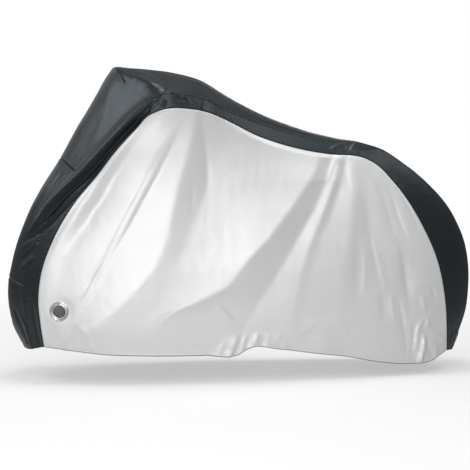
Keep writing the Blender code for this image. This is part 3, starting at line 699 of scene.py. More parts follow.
# Wrinkles of the black band: the sides that have it, its reach before and after its line and its height in
# millimetres, and the line as metres along the band from the front hem and the share across it, as in
# bandGrid. The shares are the near side's, and the far side's are their mirror.
bandFolds = {
    # the ridge under the hood hangs over the gusset, then leaves the seam and crosses the nose
    "hood ridge": ("both", 18, 4, 20, [
        (1.15, -1.04), (1.07, -1.18), (1, -1.29), (0.91, -1.36), (0.82, -1.38), (0.73, -1.36),
        (0.65, -1.26), (0.57, -1.12), (0.52, -0.97), (0.47, -0.75), (0.42, -0.52), (0.39, -0.3),
    ]),
    "under the ridge": ("both", 4, 8, -12, [
        (1.13, -1.26), (1.06, -1.43), (0.99, -1.52), (0.89, -1.58), (0.8, -1.6), (0.72, -1.56),
        (0.64, -1.46), (0.57, -1.32), (0.52, -1.16), (0.47, -0.92), (0.42, -0.68),
    ]),
    "gusset roll": ("both", 6, 5, 4, [
        (0.95, -1.78), (0.87, -1.82), (0.79, -1.83), (0.71, -1.78), (0.63, -1.68), (0.55, -1.54),
        (0.5, -1.34), (0.46, -1.06),
    ]),
    "gusset valley": ("both", 5, 7, -9, [
        (0.84, -1.92), (0.78, -1.86), (0.71, -1.8), (0.6, -1.76), (0.54, -1.62), (0.49, -1.38),
        (0.45, -1.02), (0.41, -0.7), (0.37, -0.38),
    ]),
    "nose diagonal a": ("near", 7, 4, 3.5, [(0.45, -1.05), (0.4, -0.72), (0.36, -0.42)]),
    "nose diagonal b": ("near", 4, 6, -4, [(0.4, -1.1), (0.36, -0.85), (0.32, -0.6)]),
    "nose diagonal c": ("near", 7, 6, 3, [(0.36, -1.3), (0.33, -0.95), (0.29, -0.6)]),
    "nose diagonal d": ("far", 7, 5, 3.5, [(0.46, -0.95), (0.41, -0.62), (0.36, -0.32)]),
    "nose diagonal e": ("far", 5, 7, -4, [(0.39, -1.15), (0.35, -0.82), (0.31, -0.55)]),
    "nose streak a": ("both", 5, 6, 1.8, [(0.71, -0.3), (0.6, -0.36), (0.5, -0.24)]),
    "nose streak b": ("near", 5, 5, -1.8, [(0.71, -0.56), (0.6, -0.58), (0.49, -0.46)]),
    "nose streak c": ("near", 5, 5, 2, [(0.72, -0.78), (0.62, -0.74), (0.52, -0.62)]),
    # the hood: a soft roll down its front, and crumples where the corner turns
    "front roll": ("both", 24, 28, 4, [(1.06, -0.22), (0.98, -0.48), (0.9, -0.7), (0.8, -0.88)]),
    "corner crease": ("near", 8, 11, -8, [
        (1.175, -0.22), (1.205, -0.42), (1.2, -0.66), (1.165, -0.9), (1.125, -0.96), (1.095, -0.88),
    ]),
    "corner crease, far": ("far", 8, 9, -7, [(1.185, -0.15), (1.195, -0.45), (1.18, -0.72), (1.14, -0.94)]),
    "corner roll": ("both", 16, 12, 7, [(1.1, -0.5), (1.125, -0.68), (1.12, -0.84)]),
    "corner fold a": ("both", 7, 5, 3.5, [(1.095, -0.16), (1.075, -0.38), (1.055, -0.56)]),
    "corner fold b": ("near", 3, 4, -3, [(1.12, -0.1), (1.12, -0.3), (1.105, -0.44)]),
    "corner fold c": ("near", 4, 4, 2.5, [(1.145, -0.14), (1.15, -0.36), (1.145, -0.5)]),
    "corner fold d": ("far", 4, 4, -3, [(1.13, -0.12), (1.14, -0.4), (1.12, -0.55)]),
    "top roll": ("both", 14, 16, 3.5, [(1.22, -0.4), (1.3, -0.52), (1.42, -0.52)]),
    "gusset crumple a": ("near", 4, 4, -3.5, [(1.155, -1.15), (1.18, -1.3), (1.215, -1.5)]),
    "gusset crumple b": ("near", 5, 4, 3.5, [(1.165, -1.38), (1.2, -1.25), (1.24, -1.12)]),
    "gusset crumple c": ("near", 4, 4, -3, [(1.165, -1.6), (1.19, -1.3), (1.215, -1.06)]),
    "gusset crumple d": ("both", 5, 5, 4, [(1.105, -1.35), (1.085, -1.6), (1.055, -1.88)]),
    "gusset crumple e": ("both", 4, 4, -4, [(1.125, -1.35), (1.115, -1.62), (1.1, -1.9)]),
    "gusset crumple f": ("near", 4, 4, -3.5, [(1.075, -1.45), (1.05, -1.66), (1.01, -1.85)]),
    "gusset tuck": ("both", 4, 5, 3.5, [(1.31, -1.05), (1.295, -1.4), (1.275, -1.85)]),
    "back hollow": ("both", 12, 8, -3.5, [(1.52, -0.86), (1.62, -0.84), (1.74, -0.82), (1.84, -0.86)]),
    # the hump, and the two hems
    "hump fold a": ("near", 5, 5, 3.5, [(1.87, -1.75), (1.9, -1.4), (1.94, -1.05), (1.95, -0.7)]),
    "hump fold b": ("near", 4, 5, -4.5, [(1.93, -1.8), (1.945, -1.4), (1.96, -1), (1.965, -0.6)]),
    "hump fold c": ("near", 9, 7, 3.5, [(1.95, -1.9), (2, -1.55), (2.05, -1.25), (2.09, -0.9)]),
    "hump fold d": ("far", 6, 6, 3.5, [(1.9, -1.75), (1.93, -1.3), (1.96, -0.8)]),
    "hump fold e": ("far", 5, 5, -4, [(1.96, -1.8), (1.98, -1.3), (2, -0.8)]),
    "front hem a": ("near", 4, 5, -4, [(0.16, -0.42), (0.1, -0.6), (0.02, -0.82)]),
    "front hem b": ("near", 5, 4, 3.5, [(0.13, -0.72), (0.07, -0.95), (0, -1.2)]),
    "front hem c": ("far", 5, 5, -3.5, [(0.15, -0.5), (0.08, -0.7), (0, -0.86)]),
    "front hem d": ("both", 6, 6, -3.5, [(0.2, -1.55), (0.1, -1.64), (0, -1.72)]),
    "front hem e": ("near", 4, 5, 3, [(0.12, 0.1), (0.06, 0.06), (0, 0.02)]),
    "rear hem a": ("both", 5, 5, 3.5, [(2.94, -1.6), (2.9, -1.52), (2.86, -1.4)]),
    "rear hem b": ("both", 4, 5, 3.5, [(2.94, -1.18), (2.9, -1.16), (2.85, -1.2)]),
    "rear hem c": ("both", 5, 5, 3, [(2.94, -0.62), (2.9, -0.6), (2.86, -0.52)]),
}

bandShape = {
    "waveHeight": 0.0016,
    "waveSize": 0.11,
    "wrinkleHeight": 0.0004,
    "wrinkleSize": 0.022,
    "seed": 3.0,
    "wrinkleSeed": 8.0,
    "pucker": 0.0013,
    "hemDepth": 0.014,
    "edgeFade": 0.016,       # folds die out this near the side panel
    "foldEnds": 0.25,        # share of a fold's length over which each end rises
    "hemZone": 0.03,         # but not at an end that is this near a hem
    # finer cells where the band is creased: metres along it, and the cells' length there in millimetres
    "cells": [(0.0, 3.0), (0.50, 3.2), (1.20, 3.0), (1.40, 3.6), (1.60, 6.5), (1.84, 4.2), (2.08, 4.2),
              (2.20, 7.0), (2.78, 6.0), (2.86, 3.6), (2.95, 3.2)],
    "seamCells": [0.0, 0.0010, 0.0022, 0.0038],   # and the first ones beside a cross seam
    "seamCellsEnd": 0.0055,
}

coarseAlong = np.linspace(0.0, bandEnd, 160)
coarseAcross = np.linspace(-2.0, 2.0, 81)
coarseArcs = gridArcs(bandGrid(coarseAlong, coarseAcross), 1)
coarseArcs = coarseArcs - coarseArcs[:, [len(coarseAcross) // 2]]


def arcsFor(along, across):
    # metres over the band from the crown, at places along it and shares across it
    table = np.stack([np.interp(along, coarseAlong, column) for column in coarseArcs.T], axis=1)
    return np.stack([np.interp(across, coarseAcross, row) for row in table])


def metresAcross(along, share):
    return float(arcsFor(np.array([along]), share)[0])


def endRise(place, passed):
    # a fold that runs into a hem keeps its height there
    inHem = min(place, bandEnd - place) < bandShape["hemZone"]
    return 1.0 if inHem else smoothStep(passed / bandShape["foldEnds"])


def bandFoldOut(along, arcs):
    total = np.zeros(arcs.shape)
    places = np.broadcast_to(along[:, None], arcs.shape)
    for sides, before, after, height, foldPlaces in bandFolds.values():
        for side in {"near": (1.0,), "far": (-1.0,), "both": (1.0, -1.0)}[sides]:
            line = smoothLine([(s, side * metresAcross(s, share)) for s, share in foldPlaces])
            distance, passed = alongLine(line, places, arcs)
            ends = endRise(foldPlaces[0][0], passed) * endRise(foldPlaces[-1][0], 1.0 - passed)
            total += ridgeProfile(distance * side, before, after) * ends * height * 0.001
    return total


def bandShares(start, end, sewn):
    fine = np.linspace(start, end, 1500)
    places, lengths = np.array(bandShape["cells"]).T
    cells = np.interp(fine, places, lengths * 0.001)
    passed = np.concatenate([[0.0], np.cumsum((fine[1] - fine[0]) / cells[1:])])
    shares = np.interp(np.linspace(0.0, passed[-1], int(round(passed[-1])) + 1), passed, fine)
    close, clear = np.array(bandShape["seamCells"]), bandShape["seamCellsEnd"]
    if "start" in sewn:
        shares = np.concatenate([start + close, shares[shares > start + clear]])
    if "end" in sewn:
        shares = np.concatenate([shares[shares < end - clear], end - close[::-1]])
    return shares


def bandPiece(start, end, low, high, rows, sewn, hem, seed):
    along = bandShares(start, end, sewn)
    centre = 0.5 * (start + end)
    width = abs(metresAcross(centre, high) - metresAcross(centre, low))
    across = low + (high - low) * spacing(rows, True, width)
    gap = cut["seamGap"] * 0.5
    along[0] += gap if "start" in sewn else 0.0
    along[-1] -= gap if "end" in sewn else 0.0
    across[0] += gap / width * (high - low)
    across[-1] -= gap / width * (high - low)
    base = bandGrid(along, across)
    normals = bandNormals(along, across)
    out, _ = sewnOut(base, sewn, seed, bandShape["pucker"])
    fade = 1.0
    for side, place, turn in (("low", low, 1.0), ("high", high, mirror)):
        if abs(place) == 2.0:  # this border is sewn to a side panel
            distance = borderDistances(base, [side])[0][0]
            normals = blendTowards(normals, (edgeSeamOut(along) * turn)[:, None, :], distance)
            fade = smoothStep(distance / bandShape["edgeFade"])
    waves, wrinkles = uneven(base, bandShape, bandShape["seed"], bandShape["wrinkleSeed"])
    out = out + (waves + wrinkles + bandFoldOut(along, arcsFor(along, across))) * fade
    grid = base + normals * out[..., None]
    return withTurnedHem(grid, gridNormals(grid), hem, bandShape["hemDepth"]) if hem else grid


def addNode(tree, kind, inputs=(), **settings):
    # a node with its settings made, and its inputs, by name or by number, linked or filled in
    node = tree.nodes.new(kind)
    for setting, value in settings.items():
        setattr(node, setting, value)
    for label, value in dict(inputs).items():
        if isinstance(value, bpy.types.NodeSocket):
            tree.links.new(value, node.inputs[label])
        else:
            node.inputs[label].default_value = value
    return node


def mathNode(tree, operation, *values):
    return addNode(tree, "ShaderNodeMath", enumerate(values), operation=operation).outputs[0]


def noiseNode(tree, place, scale, detail, roughness):
    inputs = {"Vector": place, "Scale": scale, "Detail": detail, "Roughness": roughness}
    return addNode(tree, "ShaderNodeTexNoise", inputs).outputs["Fac"]


def rangeNode(tree, *values):
    # the value, the two ends that it is read between and the two that they become
    return addNode(tree, "ShaderNodeMapRange", enumerate(values)).outputs[0]


def axesNode(tree, vector):
    return addNode(tree, "ShaderNodeSeparateXYZ", {0: vector}).outputs


def bumpNode(tree, height, depth, strength=1.0, under=None):
    inputs = {"Height": height, "Distance": depth, "Strength": strength}
    if under is not None:
        inputs["Normal"] = under
    return addNode(tree, "ShaderNodeBump", inputs).outputs["Normal"]


def mixColour(tree, factor, *colours):
    first, second = [(*colour, 1.0) if isinstance(colour, tuple) else colour for colour in colours]
    node = addNode(tree, "ShaderNodeMix", data_type="RGBA")
    sockets = {socket.identifier: socket for socket in node.inputs}
    for label, value in (("Factor_Float", factor), ("A_Color", first), ("B_Color", second)):
        if isinstance(value, tuple):
            sockets[label].default_value = value
        else:
            tree.links.new(value, sockets[label])
    return next(socket for socket in node.outputs if socket.type == "RGBA")


# Shader groups: each takes a place and puts out only masks and heights that change over the surface.
def newGroup(name, amounts, outputs):
    tree = bpy.data.node_groups.new(name, "ShaderNodeTree")
    tree.interface.new_socket(name="Place", in_out="INPUT", socket_type="NodeSocketVector")
    for label, value in amounts.items():
        socket = tree.interface.new_socket(name=label, in_out="INPUT", socket_type="NodeSocketFloat")
        socket.default_value = value
    for label in outputs:
        tree.interface.new_socket(name=label, in_out="OUTPUT", socket_type="NodeSocketFloat")
    return tree, tree.nodes.new("NodeGroupInput").outputs, tree.nodes.new("NodeGroupOutput").inputs


def makeWeaveGroup():
    # plain weave: warp and weft threads pass over each other by turns
    tree, given, result = newGroup("plainWeave", {"Pitch": 0.00035}, ("Height", "Thread"))
    axes = axesNode(tree, given["Place"])
    turns = mathNode(tree, "DIVIDE", math.pi, given["Pitch"])
    warp, weft = [mathNode(tree, "SINE", mathNode(tree, "MULTIPLY", axes[axis], turns)) for axis in "XY"]
    over = mathNode(tree, "MULTIPLY", warp, weft)
    threads = []
    for thread, low, high in ((warp, 0.4, 1.0), (weft, 1.0, 0.4)):
        lift = rangeNode(tree, over, -1, 1, low, high)
        threads.append(mathNode(tree, "MULTIPLY", mathNode(tree, "ABSOLUTE", thread), lift))
    tree.links.new(mathNode(tree, "MAXIMUM", *threads), result["Height"])
    tree.links.new(rangeNode(tree, over, -1, 1, 0.0, 1.0), result["Thread"])
    return tree


crinkleForm = {
    "sharpness": 5.0,
    "softShare": 1.5,         # the rounded waves between the creases
    "patchScale": 6.0,        # the creases come in patches
    "patch": (0.42, 0.62),    # and rise between these two values of the patches' noise
}


def makeCrinkleGroup():
    # fine wrinkles of a thin coated cloth that has been folded small
    tree, given, result = newGroup("foldedCrinkle", {"Size": 30.0}, ("Height",))
    soft = noiseNode(tree, given["Place"], given["Size"], 4.0, 0.55)
    ridge = mathNode(tree, "ABSOLUTE", mathNode(tree, "SUBTRACT", soft, 0.5))
    sharp = mathNode(tree, "SUBTRACT", 1.0, mathNode(tree, "MULTIPLY", ridge, crinkleForm["sharpness"]))
    slow = noiseNode(tree, given["Place"], crinkleForm["patchScale"], 2.0, 0.5)
    where = rangeNode(tree, slow, *crinkleForm["patch"], 0.0, 1.0)
    creases = mathNode(tree, "MULTIPLY", mathNode(tree, "MAXIMUM", sharp, 0.0), where)
    height = mathNode(tree, "ADD", creases, mathNode(tree, "MULTIPLY", soft, crinkleForm["softShare"]))
    tree.links.new(height, result["Height"])
    return tree


toneForm = {
    "broadScale": 5.0,
    "broadShare": 0.7,
    "fineScale": 60.0,
    "fineShare": 0.3,
    "dust": (-0.90, -1.06),   # heights where it starts and where it is full
}


def makeToneGroup():
    # slow changes of tone, and a little dust towards the hem
    tree, given, result = newGroup("toneAndDust", {"Amount": 0.5}, ("Tone", "Dust"))
    broad = noiseNode(tree, given["Place"], toneForm["broadScale"], 3.0, 0.5)
    fine = noiseNode(tree, given["Place"], toneForm["fineScale"], 3.0, 0.6)
    shares = [(broad, toneForm["broadShare"]), (fine, toneForm["fineShare"])]
    mixed = mathNode(tree, "ADD", *[mathNode(tree, "MULTIPLY", field, share) for field, share in shares])
    centred = mathNode(tree, "MULTIPLY", mathNode(tree, "SUBTRACT", mixed, 0.5), given["Amount"])
    tree.links.new(mathNode(tree, "ADD", centred, 0.5), result["Tone"])
    low = rangeNode(tree, axesNode(tree, given["Place"])["Z"], *toneForm["dust"], 0.0, 1.0)
    tree.links.new(mathNode(tree, "MULTIPLY", low, fine), result["Dust"])
    return tree


weaveGroup = makeWeaveGroup()
crinkleGroup = makeCrinkleGroup()
toneGroup = makeToneGroup()


def addGroup(tree, group, place, amounts):
    node = addNode(tree, "ShaderNodeGroup", node_tree=group)
    tree.links.new(place, node.inputs["Place"])
    for label, value in amounts.items():
        node.inputs[label].default_value = value
    return node.outputs


def newMaterial(name, fixed):
    # values that are the same all over go straight onto the shader's sockets
    material = bpy.data.materials.new(name)
    material.use_nodes = True
    tree = material.node_tree
    shader = next(node for node in tree.nodes if node.type == "BSDF_PRINCIPLED").inputs
    for label, value in fixed.items():
        shader[label].default_value = value
    return material, tree, shader, addNode(tree, "ShaderNodeTexCoord").outputs["Object"]


silverLook = {
    "dark": (0.76, 0.762, 0.766),
    "light": (0.86, 0.862, 0.866),
    "thread": (0.80, 0.802, 0.806),
    "threadTone": 0.35,
    "dust": (0.52, 0.50, 0.46),
    "dustAmount": 0.10,
    "toneAmount": 0.5,
    "roughness": 0.54,
    "roughnessStep": 0.04,      # and how far the tone moves it either way
    "metallic": 0.45,
    "specular": 0.5,
    "specularTint": (1.0, 1.0, 1.0),
    "pitch": 0.00042,
    "weaveDepth": 0.00006,
    "crinkleSize": 16.0,
    "crinkleDepth": 0.0004,
    "paintedHemShade": {               # painted shade: darker along the hem's lower fold, where the turned edge lies in shadow
        "fold": 0.0185,         # metres from the turned-in end to that fold
        "reach": 0.0030,
        "amount": 0.75,
        "colour": (0.22, 0.22, 0.225),
    },
}
blackLook = {
    "dark": (0.006, 0.008, 0.010),
    "light": (0.010, 0.013, 0.016),
    "thread": (0.014, 0.018, 0.021),
    "threadTone": 0.4,
    "dust": (0.16, 0.15, 0.13),
    "dustAmount": 0.06,
    "toneAmount": 0.9,
    "roughness": 0.38,
    "roughnessStep": 0.04,
    "metallic": 0.0,
    "specular": 0.45,
    "specularTint": (0.78, 0.92, 1.0),
    "pitch": 0.00042,
    "weaveDepth": 0.00007,
    "crinkleSize": 22.0,
    "crinkleDepth": 0.0005,
}
steelLook = {
    "bright": (0.66, 0.66, 0.67),
    "dull": (0.44, 0.44, 0.45),
    "toneAmount": 1.4,
    "roughness": 0.20,
    "dullRoughness": 0.36,
    "grainScale": 420.0,
    "grainDepth": 0.00004,
}
threadLook = {
    "black": (0.035, 0.038, 0.042),
    "silver": (0.60, 0.61, 0.62),
    "shadow": 0.6,              # the colour between the fibres, as a share of the thread's own
    "roughness": 0.55,
    "fibreScale": 1600.0,
    "fibreDepth": 0.00008,
}


def clothMaterial(name, look):
    # coated polyester: weave by the cloth's own map, crinkles and tone by the object's place
    material, tree, shader, place = newMaterial(name, {
        "Metallic": look["metallic"],
        "Specular IOR Level": look["specular"],
        "Specular Tint": (*look["specularTint"], 1.0),
    })
    threads = addNode(tree, "ShaderNodeUVMap", uv_map="clothMap").outputs["UV"]
    weave = addGroup(tree, weaveGroup, threads, {"Pitch": look["pitch"]})
    crinkle = addGroup(tree, crinkleGroup, place, {"Size": look["crinkleSize"]})
    tone = addGroup(tree, toneGroup, place, {"Amount": look["toneAmount"]})
    colour = mixColour(tree, tone["Tone"], look["dark"], look["light"])
    layers = [(weave["Thread"], "threadTone", "thread"), (tone["Dust"], "dustAmount", "dust")]
    for mask, share, over in layers:
        colour = mixColour(tree, mathNode(tree, "MULTIPLY", mask, look[share]), colour, look[over])
    # painted shade: a thin darker line in the base colour along the hem's lower fold
    if "paintedHemShade" in look:
        hem = look["paintedHemShade"]
        past = mathNode(tree, "SUBTRACT", axesNode(tree, threads)["Y"], hem["fold"])
        fromFold = mathNode(tree, "ABSOLUTE", past)
        shade = rangeNode(tree, fromFold, hem["reach"] * 0.6, hem["reach"], hem["amount"], 0.0)
        colour = mixColour(tree, shade, colour, hem["colour"])
    tree.links.new(colour, shader["Base Color"])
    low, high = [look["roughness"] + step for step in (-look["roughnessStep"], look["roughnessStep"])]
    tree.links.new(rangeNode(tree, tone["Tone"], 0.3, 0.7, low, high), shader["Roughness"])
    creases = bumpNode(tree, crinkle["Height"], look["crinkleDepth"])
    tree.links.new(bumpNode(tree, weave["Height"], look["weaveDepth"], 0.5, creases), shader["Normal"])
    return material


def steelMaterial(name, look):
    # pressed and plated: fine turning marks and small dull patches
    material, tree, shader, place = newMaterial(name, {"Metallic": 1.0})
    tone = addGroup(tree, toneGroup, place, {"Amount": look["toneAmount"]})
    speckle = noiseNode(tree, place, look["grainScale"], 4.0, 0.6)
    wear = mathNode(tree, "MULTIPLY", tone["Tone"], speckle)
    tree.links.new(mixColour(tree, wear, look["bright"], look["dull"]), shader["Base Color"])
    rough = rangeNode(tree, wear, 0.1, 0.5, look["roughness"], look["dullRoughness"])
    tree.links.new(rough, shader["Roughness"])
    tree.links.new(bumpNode(tree, speckle, look["grainDepth"]), shader["Normal"])
    return material


def threadMaterial(name, colour, look):
    material, tree, shader, place = newMaterial(name, {"Roughness": look["roughness"]})
    fibres = noiseNode(tree, place, look["fibreScale"], 2.0, 0.6)
    darker = tuple(channel * look["shadow"] for channel in colour)
    tree.links.new(mixColour(tree, fibres, darker, colour), shader["Base Color"])
    tree.links.new(bumpNode(tree, fibres, look["fibreDepth"]), shader["Normal"])
    return material


silverCloth = clothMaterial("silverPolyester", silverLook)
blackCloth = clothMaterial("blackPolyester", blackLook)
steel = steelMaterial("platedSteel", steelLook)
blackThread = threadMaterial("blackThread", threadLook["black"], threadLook)
silverThread = threadMaterial("silverThread", threadLook["silver"], threadLook)
print("materials ready")


# The black band: centre strip in three lengths, and the gussets beside it in two.
bandPieces = {
    # from, to, low, high, rows, sewn borders, free border, seed
    "nose_lower": (0.0, noseSeamKnot, -1.0, 1.0, 66, ("end", "low", "high"), "start", 3.1),
    "nose_upper": (noseSeamKnot, browSeamKnot, -1.0, 1.0, 84, ("start", "end", "low", "high"), None, 7.7),
    "top_strip": (browSeamKnot, bandEnd, -1.0, 1.0, 74, ("start", "low", "high"), "end", 11.3),
    "front_gusset_near": (0.0, gussetSeamKnot, -2.0, -1.0, 28, ("end", "low", "high"), "start", 2.2),
    "front_gusset_far": (0.0, gussetSeamKnot, 1.0, 2.0, 28, ("end", "low", "high"), "start", 5.9),
    "rear_gusset_near": (gussetSeamKnot, bandEnd, -2.0, -1.0, 28, ("start", "low", "high"), "end", 8.4),
    "rear_gusset_far": (gussetSeamKnot, bandEnd, 1.0, 2.0, 28, ("start", "low", "high"), "end", 9.6),
}
bandGrids = {}
for name, values in bandPieces.items():
    grid = bandGrids[name] = bandPiece(*values)
    clothPiece(name, grid.reshape(-1, 3), gridFaces(*grid.shape[:2]), blackCloth, "black_polyester",
               clothMap(grid).reshape(-1, 2))
print("black band sewn from", len(bandPieces), "pieces")


eyelet = {
    "segments": 96,
    "behind": 0.0035,      # from the lowest point of the pressed ring to the middle of the cloth
    "clothHole": 0.0231,
    "flat": 0.038,         # the cloth lies flat up to this radius, and is back in its folds at the next
    "fade": 0.062,
    "cutReach": 0.031,     # cells nearer than this are replaced by rings round the hole
    "rings": 5,
    "facePoints": 56,
    "backPoints": 36,
    # radius and height above the cloth, millimetres: the face from the outer edge to the flare behind
    "face": [
        (35.0, 0.5), (35.8, 1.1), (36.0, 2.1), (35.5, 3.1), (34.3, 3.8), (32.6, 4.1), (31.0, 3.9),
        (29.9, 3.2), (29.0, 3.0), (28.2, 3.3), (27.4, 4.3), (26.4, 5.1), (25.1, 5.5), (23.8, 5.4),
        (22.7, 4.8), (21.9, 3.8), (21.5, 2.4), (21.5, 0.2), (21.6, -2.1), (22.0, -3.0), (23.2, -3.4),
        (25.2, -3.3),
    ],
    "back": [
        (25.2, -2.6), (23.3, -2.5), (22.6, -1.8), (22.6, 0.4), (22.7, 2.8), (23.9, 4.5), (25.2, 4.7),
        (26.2, 4.2), (27.4, 2.6), (29.0, 2.2), (30.3, 2.4), (32.5, 3.2), (34.1, 2.9), (34.9, 2.1),
        (34.9, 1.2),
    ],
}


def eyeletFrame(side):
    # centre on the cloth and outward axis, from the CAD ring
    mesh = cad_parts["eyelet_" + side].data
    points = np.empty(len(mesh.vertices) * 3)
    mesh.vertices.foreach_get("co", points)
    points = points.reshape(-1, 3)
    centre = (points.min(axis=0) + points.max(axis=0)) * 0.5
    spread = np.linalg.svd(points - points.mean(axis=0), full_matrices=False)[2]
    axis = spread[2] * np.sign(spread[2][1]) * (-1.0 if centre[1] < 0 else 1.0)
    lowest = ((points - centre) @ axis).min()
    return centre + axis * (lowest + eyelet["behind"]), axis


def flattenAround(grid, centre, axis):
    # the cloth lies flat under the pressed ring and eases back into its folds
    away = grid - centre
    height = away @ axis
    radius = np.linalg.norm(away - height[..., None] * axis, axis=-1)
    share = 1.0 - smoothStep((radius - eyelet["flat"]) / (eyelet["fade"] - eyelet["flat"]))
    return grid + axis * ((cut["thickness"] * 0.5 - height) * share)[..., None], radius


def withRoundHole(grid, uv, centre, axis, radius):
    # cut a block of cells away and close the gap with rings down to the round hole
    near = np.argwhere(radius < eyelet["cutReach"])
    (i0, j0), (i1, j1) = near.min(axis=0), near.max(axis=0)
    columns, rows = grid.shape[:2]
    walk = ([(i, j0) for i in range(i0, i1)] + [(i1, j) for j in range(j0, j1)]
            + [(i, j1) for i in range(i1, i0, -1)] + [(i0, j) for j in range(j1, j0, -1)])
    keep = np.full((columns, rows), True)
    keep[i0 + 1:i1, j0 + 1:j1] = False
    keep = keep.ravel()
    index = np.cumsum(keep) - 1
    faces = [index[face] for face in gridFaces(columns, rows)
             if not (i0 <= face[0] // rows < i1 and j0 <= face[0] % rows < j1)]
    last = [index[i * rows + j] for i, j in walk]
    count = len(last)
    middlePoint = centre + axis * cut["thickness"] * 0.5
    points, places = grid.reshape(-1, 3)[keep], uv.reshape(-1, 2)[keep]
    outer, outerPlaces = points[last], places[last]
    away = outer - middlePoint
    circle = middlePoint + unit(away - (away @ axis)[:, None] * axis) * eyelet["clothHole"]
    middlePlace = outerPlaces.mean(axis=0)
    circlePlaces = middlePlace + unit(outerPlaces - middlePlace) * eyelet["clothHole"]
    for ring in range(1, eyelet["rings"] + 1):
        share = ring / eyelet["rings"]
        here = list(range(len(points), len(points) + count))
        points = np.vstack([points, outer * (1 - share) + circle * share])
        places = np.vstack([places, outerPlaces * (1 - share) + circlePlaces * share])
        faces += [[last[k], last[k + 1 - count], here[k + 1 - count], here[k]] for k in range(count)]
        last = here
    return points, places, faces


# Small gathers along the hem, most at the nose, the tail and the middle.
hemGathers = {
    "height": 0.0022,
    "fade": 0.030,         # how far up the cloth they reach
    "everywhere": 0.35,    # share of their height between those places
    "noseX": -0.55,
    "noseReach": 0.10,
    "tailX": 0.55,
    "tailReach": 0.12,
    "middleX": 0.03,
    "middleReach": 0.14,
}


def hemWave(x, height):
    nose = smoothStep((hemGathers["noseX"] - x) / hemGathers["noseReach"])
    tail = smoothStep((x - hemGathers["tailX"]) / hemGathers["tailReach"])
    centre = np.exp(-(((x - hemGathers["middleX"]) / hemGathers["middleReach"]) ** 2))
    strength = hemGathers["everywhere"] + (1.0 - hemGathers["everywhere"]) * (nose + tail + centre)
    short = np.sin(x * 150.0 + 1.3 * np.sin(x * 31.0))
    long = np.sin(x * 96.0 + 2.0 * np.sin(x * 17.0))
    waves = short * 0.6 + long * 0.4
    return hemGathers["height"] * strength * waves * np.exp(-height / hemGathers["fade"])


def edgeOutField(along, up, nearest, base):
    # the direction in which the nearest sewn edge sinks
    front, top, back = (edgeSeamOut(knots) for knots in panelEdges(along, up))
    (toFront, _), (toBack, _) = borderDistances(base, ("start", "end"))
    field = np.where((toFront <= nearest)[..., None], front[None, :, :], top[:, None, :])
    return np.where((toBack <= nearest)[..., None], back[None, :, :], field)


panelSides = {
    "near": {
        "folds": nearFolds,
        "smallFolds": nearSmallFolds,
        "drape": 1.0,        # the main folds, as a share of their given heights
        "turn": 1.0,         # and -1 for the panel that is turned over to the far side
        "seamSeed": 1.0,
        "seed": 21.0,
    },
    "far": {
        "folds": farFolds,
        "smallFolds": farSmallFolds,
        "drape": 1.5,
        "turn": -1.0,
        "seamSeed": 4.0,
        "seed": 34.0,
    },
}


def sidePanel(side):
    # draped as a near panel, and turned over to the far side at the end
    given = panelSides[side]
    turn, seed = given["turn"], given["seed"]
    along = spacing(panelShape["columns"], True, panelShape["length"])
    up = spacing(panelShape["rows"], False, panelShape["height"])
    base = panelGrid(along, up)
    ground = base - toFrame
    x, z = ground[..., 0], ground[..., 2]
    out, nearest = sewnOut(base, ("start", "end", "high"), given["seamSeed"], panelShape["pucker"])
    main = foldedOut(given["folds"], x, z) * smoothStep(nearest / panelShape["seamFade"]) * given["drape"]
    small = smallFoldOut(given["smallFolds"], x, z) * smoothStep(nearest / panelShape["smallFade"])
    calm = smoothStep(nearest / panelShape["calmFade"])
    waves, wrinkles = uneven(base, panelShape, seed, seed + 3, panelShape["wrinkleSqueeze"])
    # the seam's own movement follows the cloth's normal, the folds stand out sideways
    outward = blendTowards(gridNormals(base), edgeOutField(along, up, nearest, base), nearest)
    grid = base + outward * (out + wrinkles * calm)[..., None]
    grid[..., 1] -= main + small + waves * calm + hemWave(x, gridArcs(base, 1)) * calm
    grid[..., 1] *= turn
    centre, axis = eyeletFrame(side)
    grid, radius = flattenAround(grid, centre, axis)
    grid = withTurnedHem(grid, gridNormals(grid) * turn, "low", panelShape["hemDepth"])
    radius = np.pad(radius, ((0, 0), (grid.shape[1] - radius.shape[1], 0)), constant_values=1.0)
    points, places, faces = withRoundHole(grid, clothMap(grid), centre, axis, radius)
    if side == "far":
        faces = [face[::-1] for face in faces]
    clothPiece("side_panel_" + side, points, faces, silverCloth, "silver_polyester", places)
    return grid


panelGrids = {side: sidePanel(side) for side in panelSides}
print("side panels draped")


def turnedRing(name, centre, axis):
    # a closed profile of radius and height turned round the eyelet's axis
    face, back = np.array(eyelet["face"]) * 0.001, np.array(eyelet["back"]) * 0.001
    loop = np.vstack([smoothLine(face, eyelet["facePoints"]), smoothLine(back, eyelet["backPoints"])])
    across = unit(np.cross(axis, [0.0, 0.0, 1.0]))
    over = np.cross(axis, across)
    turns = np.arange(eyelet["segments"]) * math.tau / eyelet["segments"]
    spokes = np.cos(turns)[:, None] * across + np.sin(turns)[:, None] * over
    points = centre + loop[None, :, :1] * spokes[:, None, :] + loop[None, :, 1:] * axis
    corner = np.arange(points.shape[0] * points.shape[1]).reshape(points.shape[:2])
    ahead = np.roll(corner, -1, axis=0)
    faces = np.stack([corner, ahead, np.roll(ahead, -1, axis=1), np.roll(corner, -1, axis=1)], axis=-1)
    thing = meshObject(name, points.reshape(-1, 3), faces.reshape(-1, 4), steel)
    shape = bmesh.new()
    shape.from_mesh(thing.data)
    bmesh.ops.recalc_face_normals(shape, faces=shape.faces)
    shape.to_mesh(thing.data)
    shape.free()
    return thing


for side in panelSides:
    finishPiece(turnedRing("eyelet_ring_" + side, *eyeletFrame(side)), "steel", "eyelet_" + side)
    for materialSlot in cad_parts["eyelet_washer_" + side].material_slots:
        materialSlot.material = steel
print("eyelets pressed in")


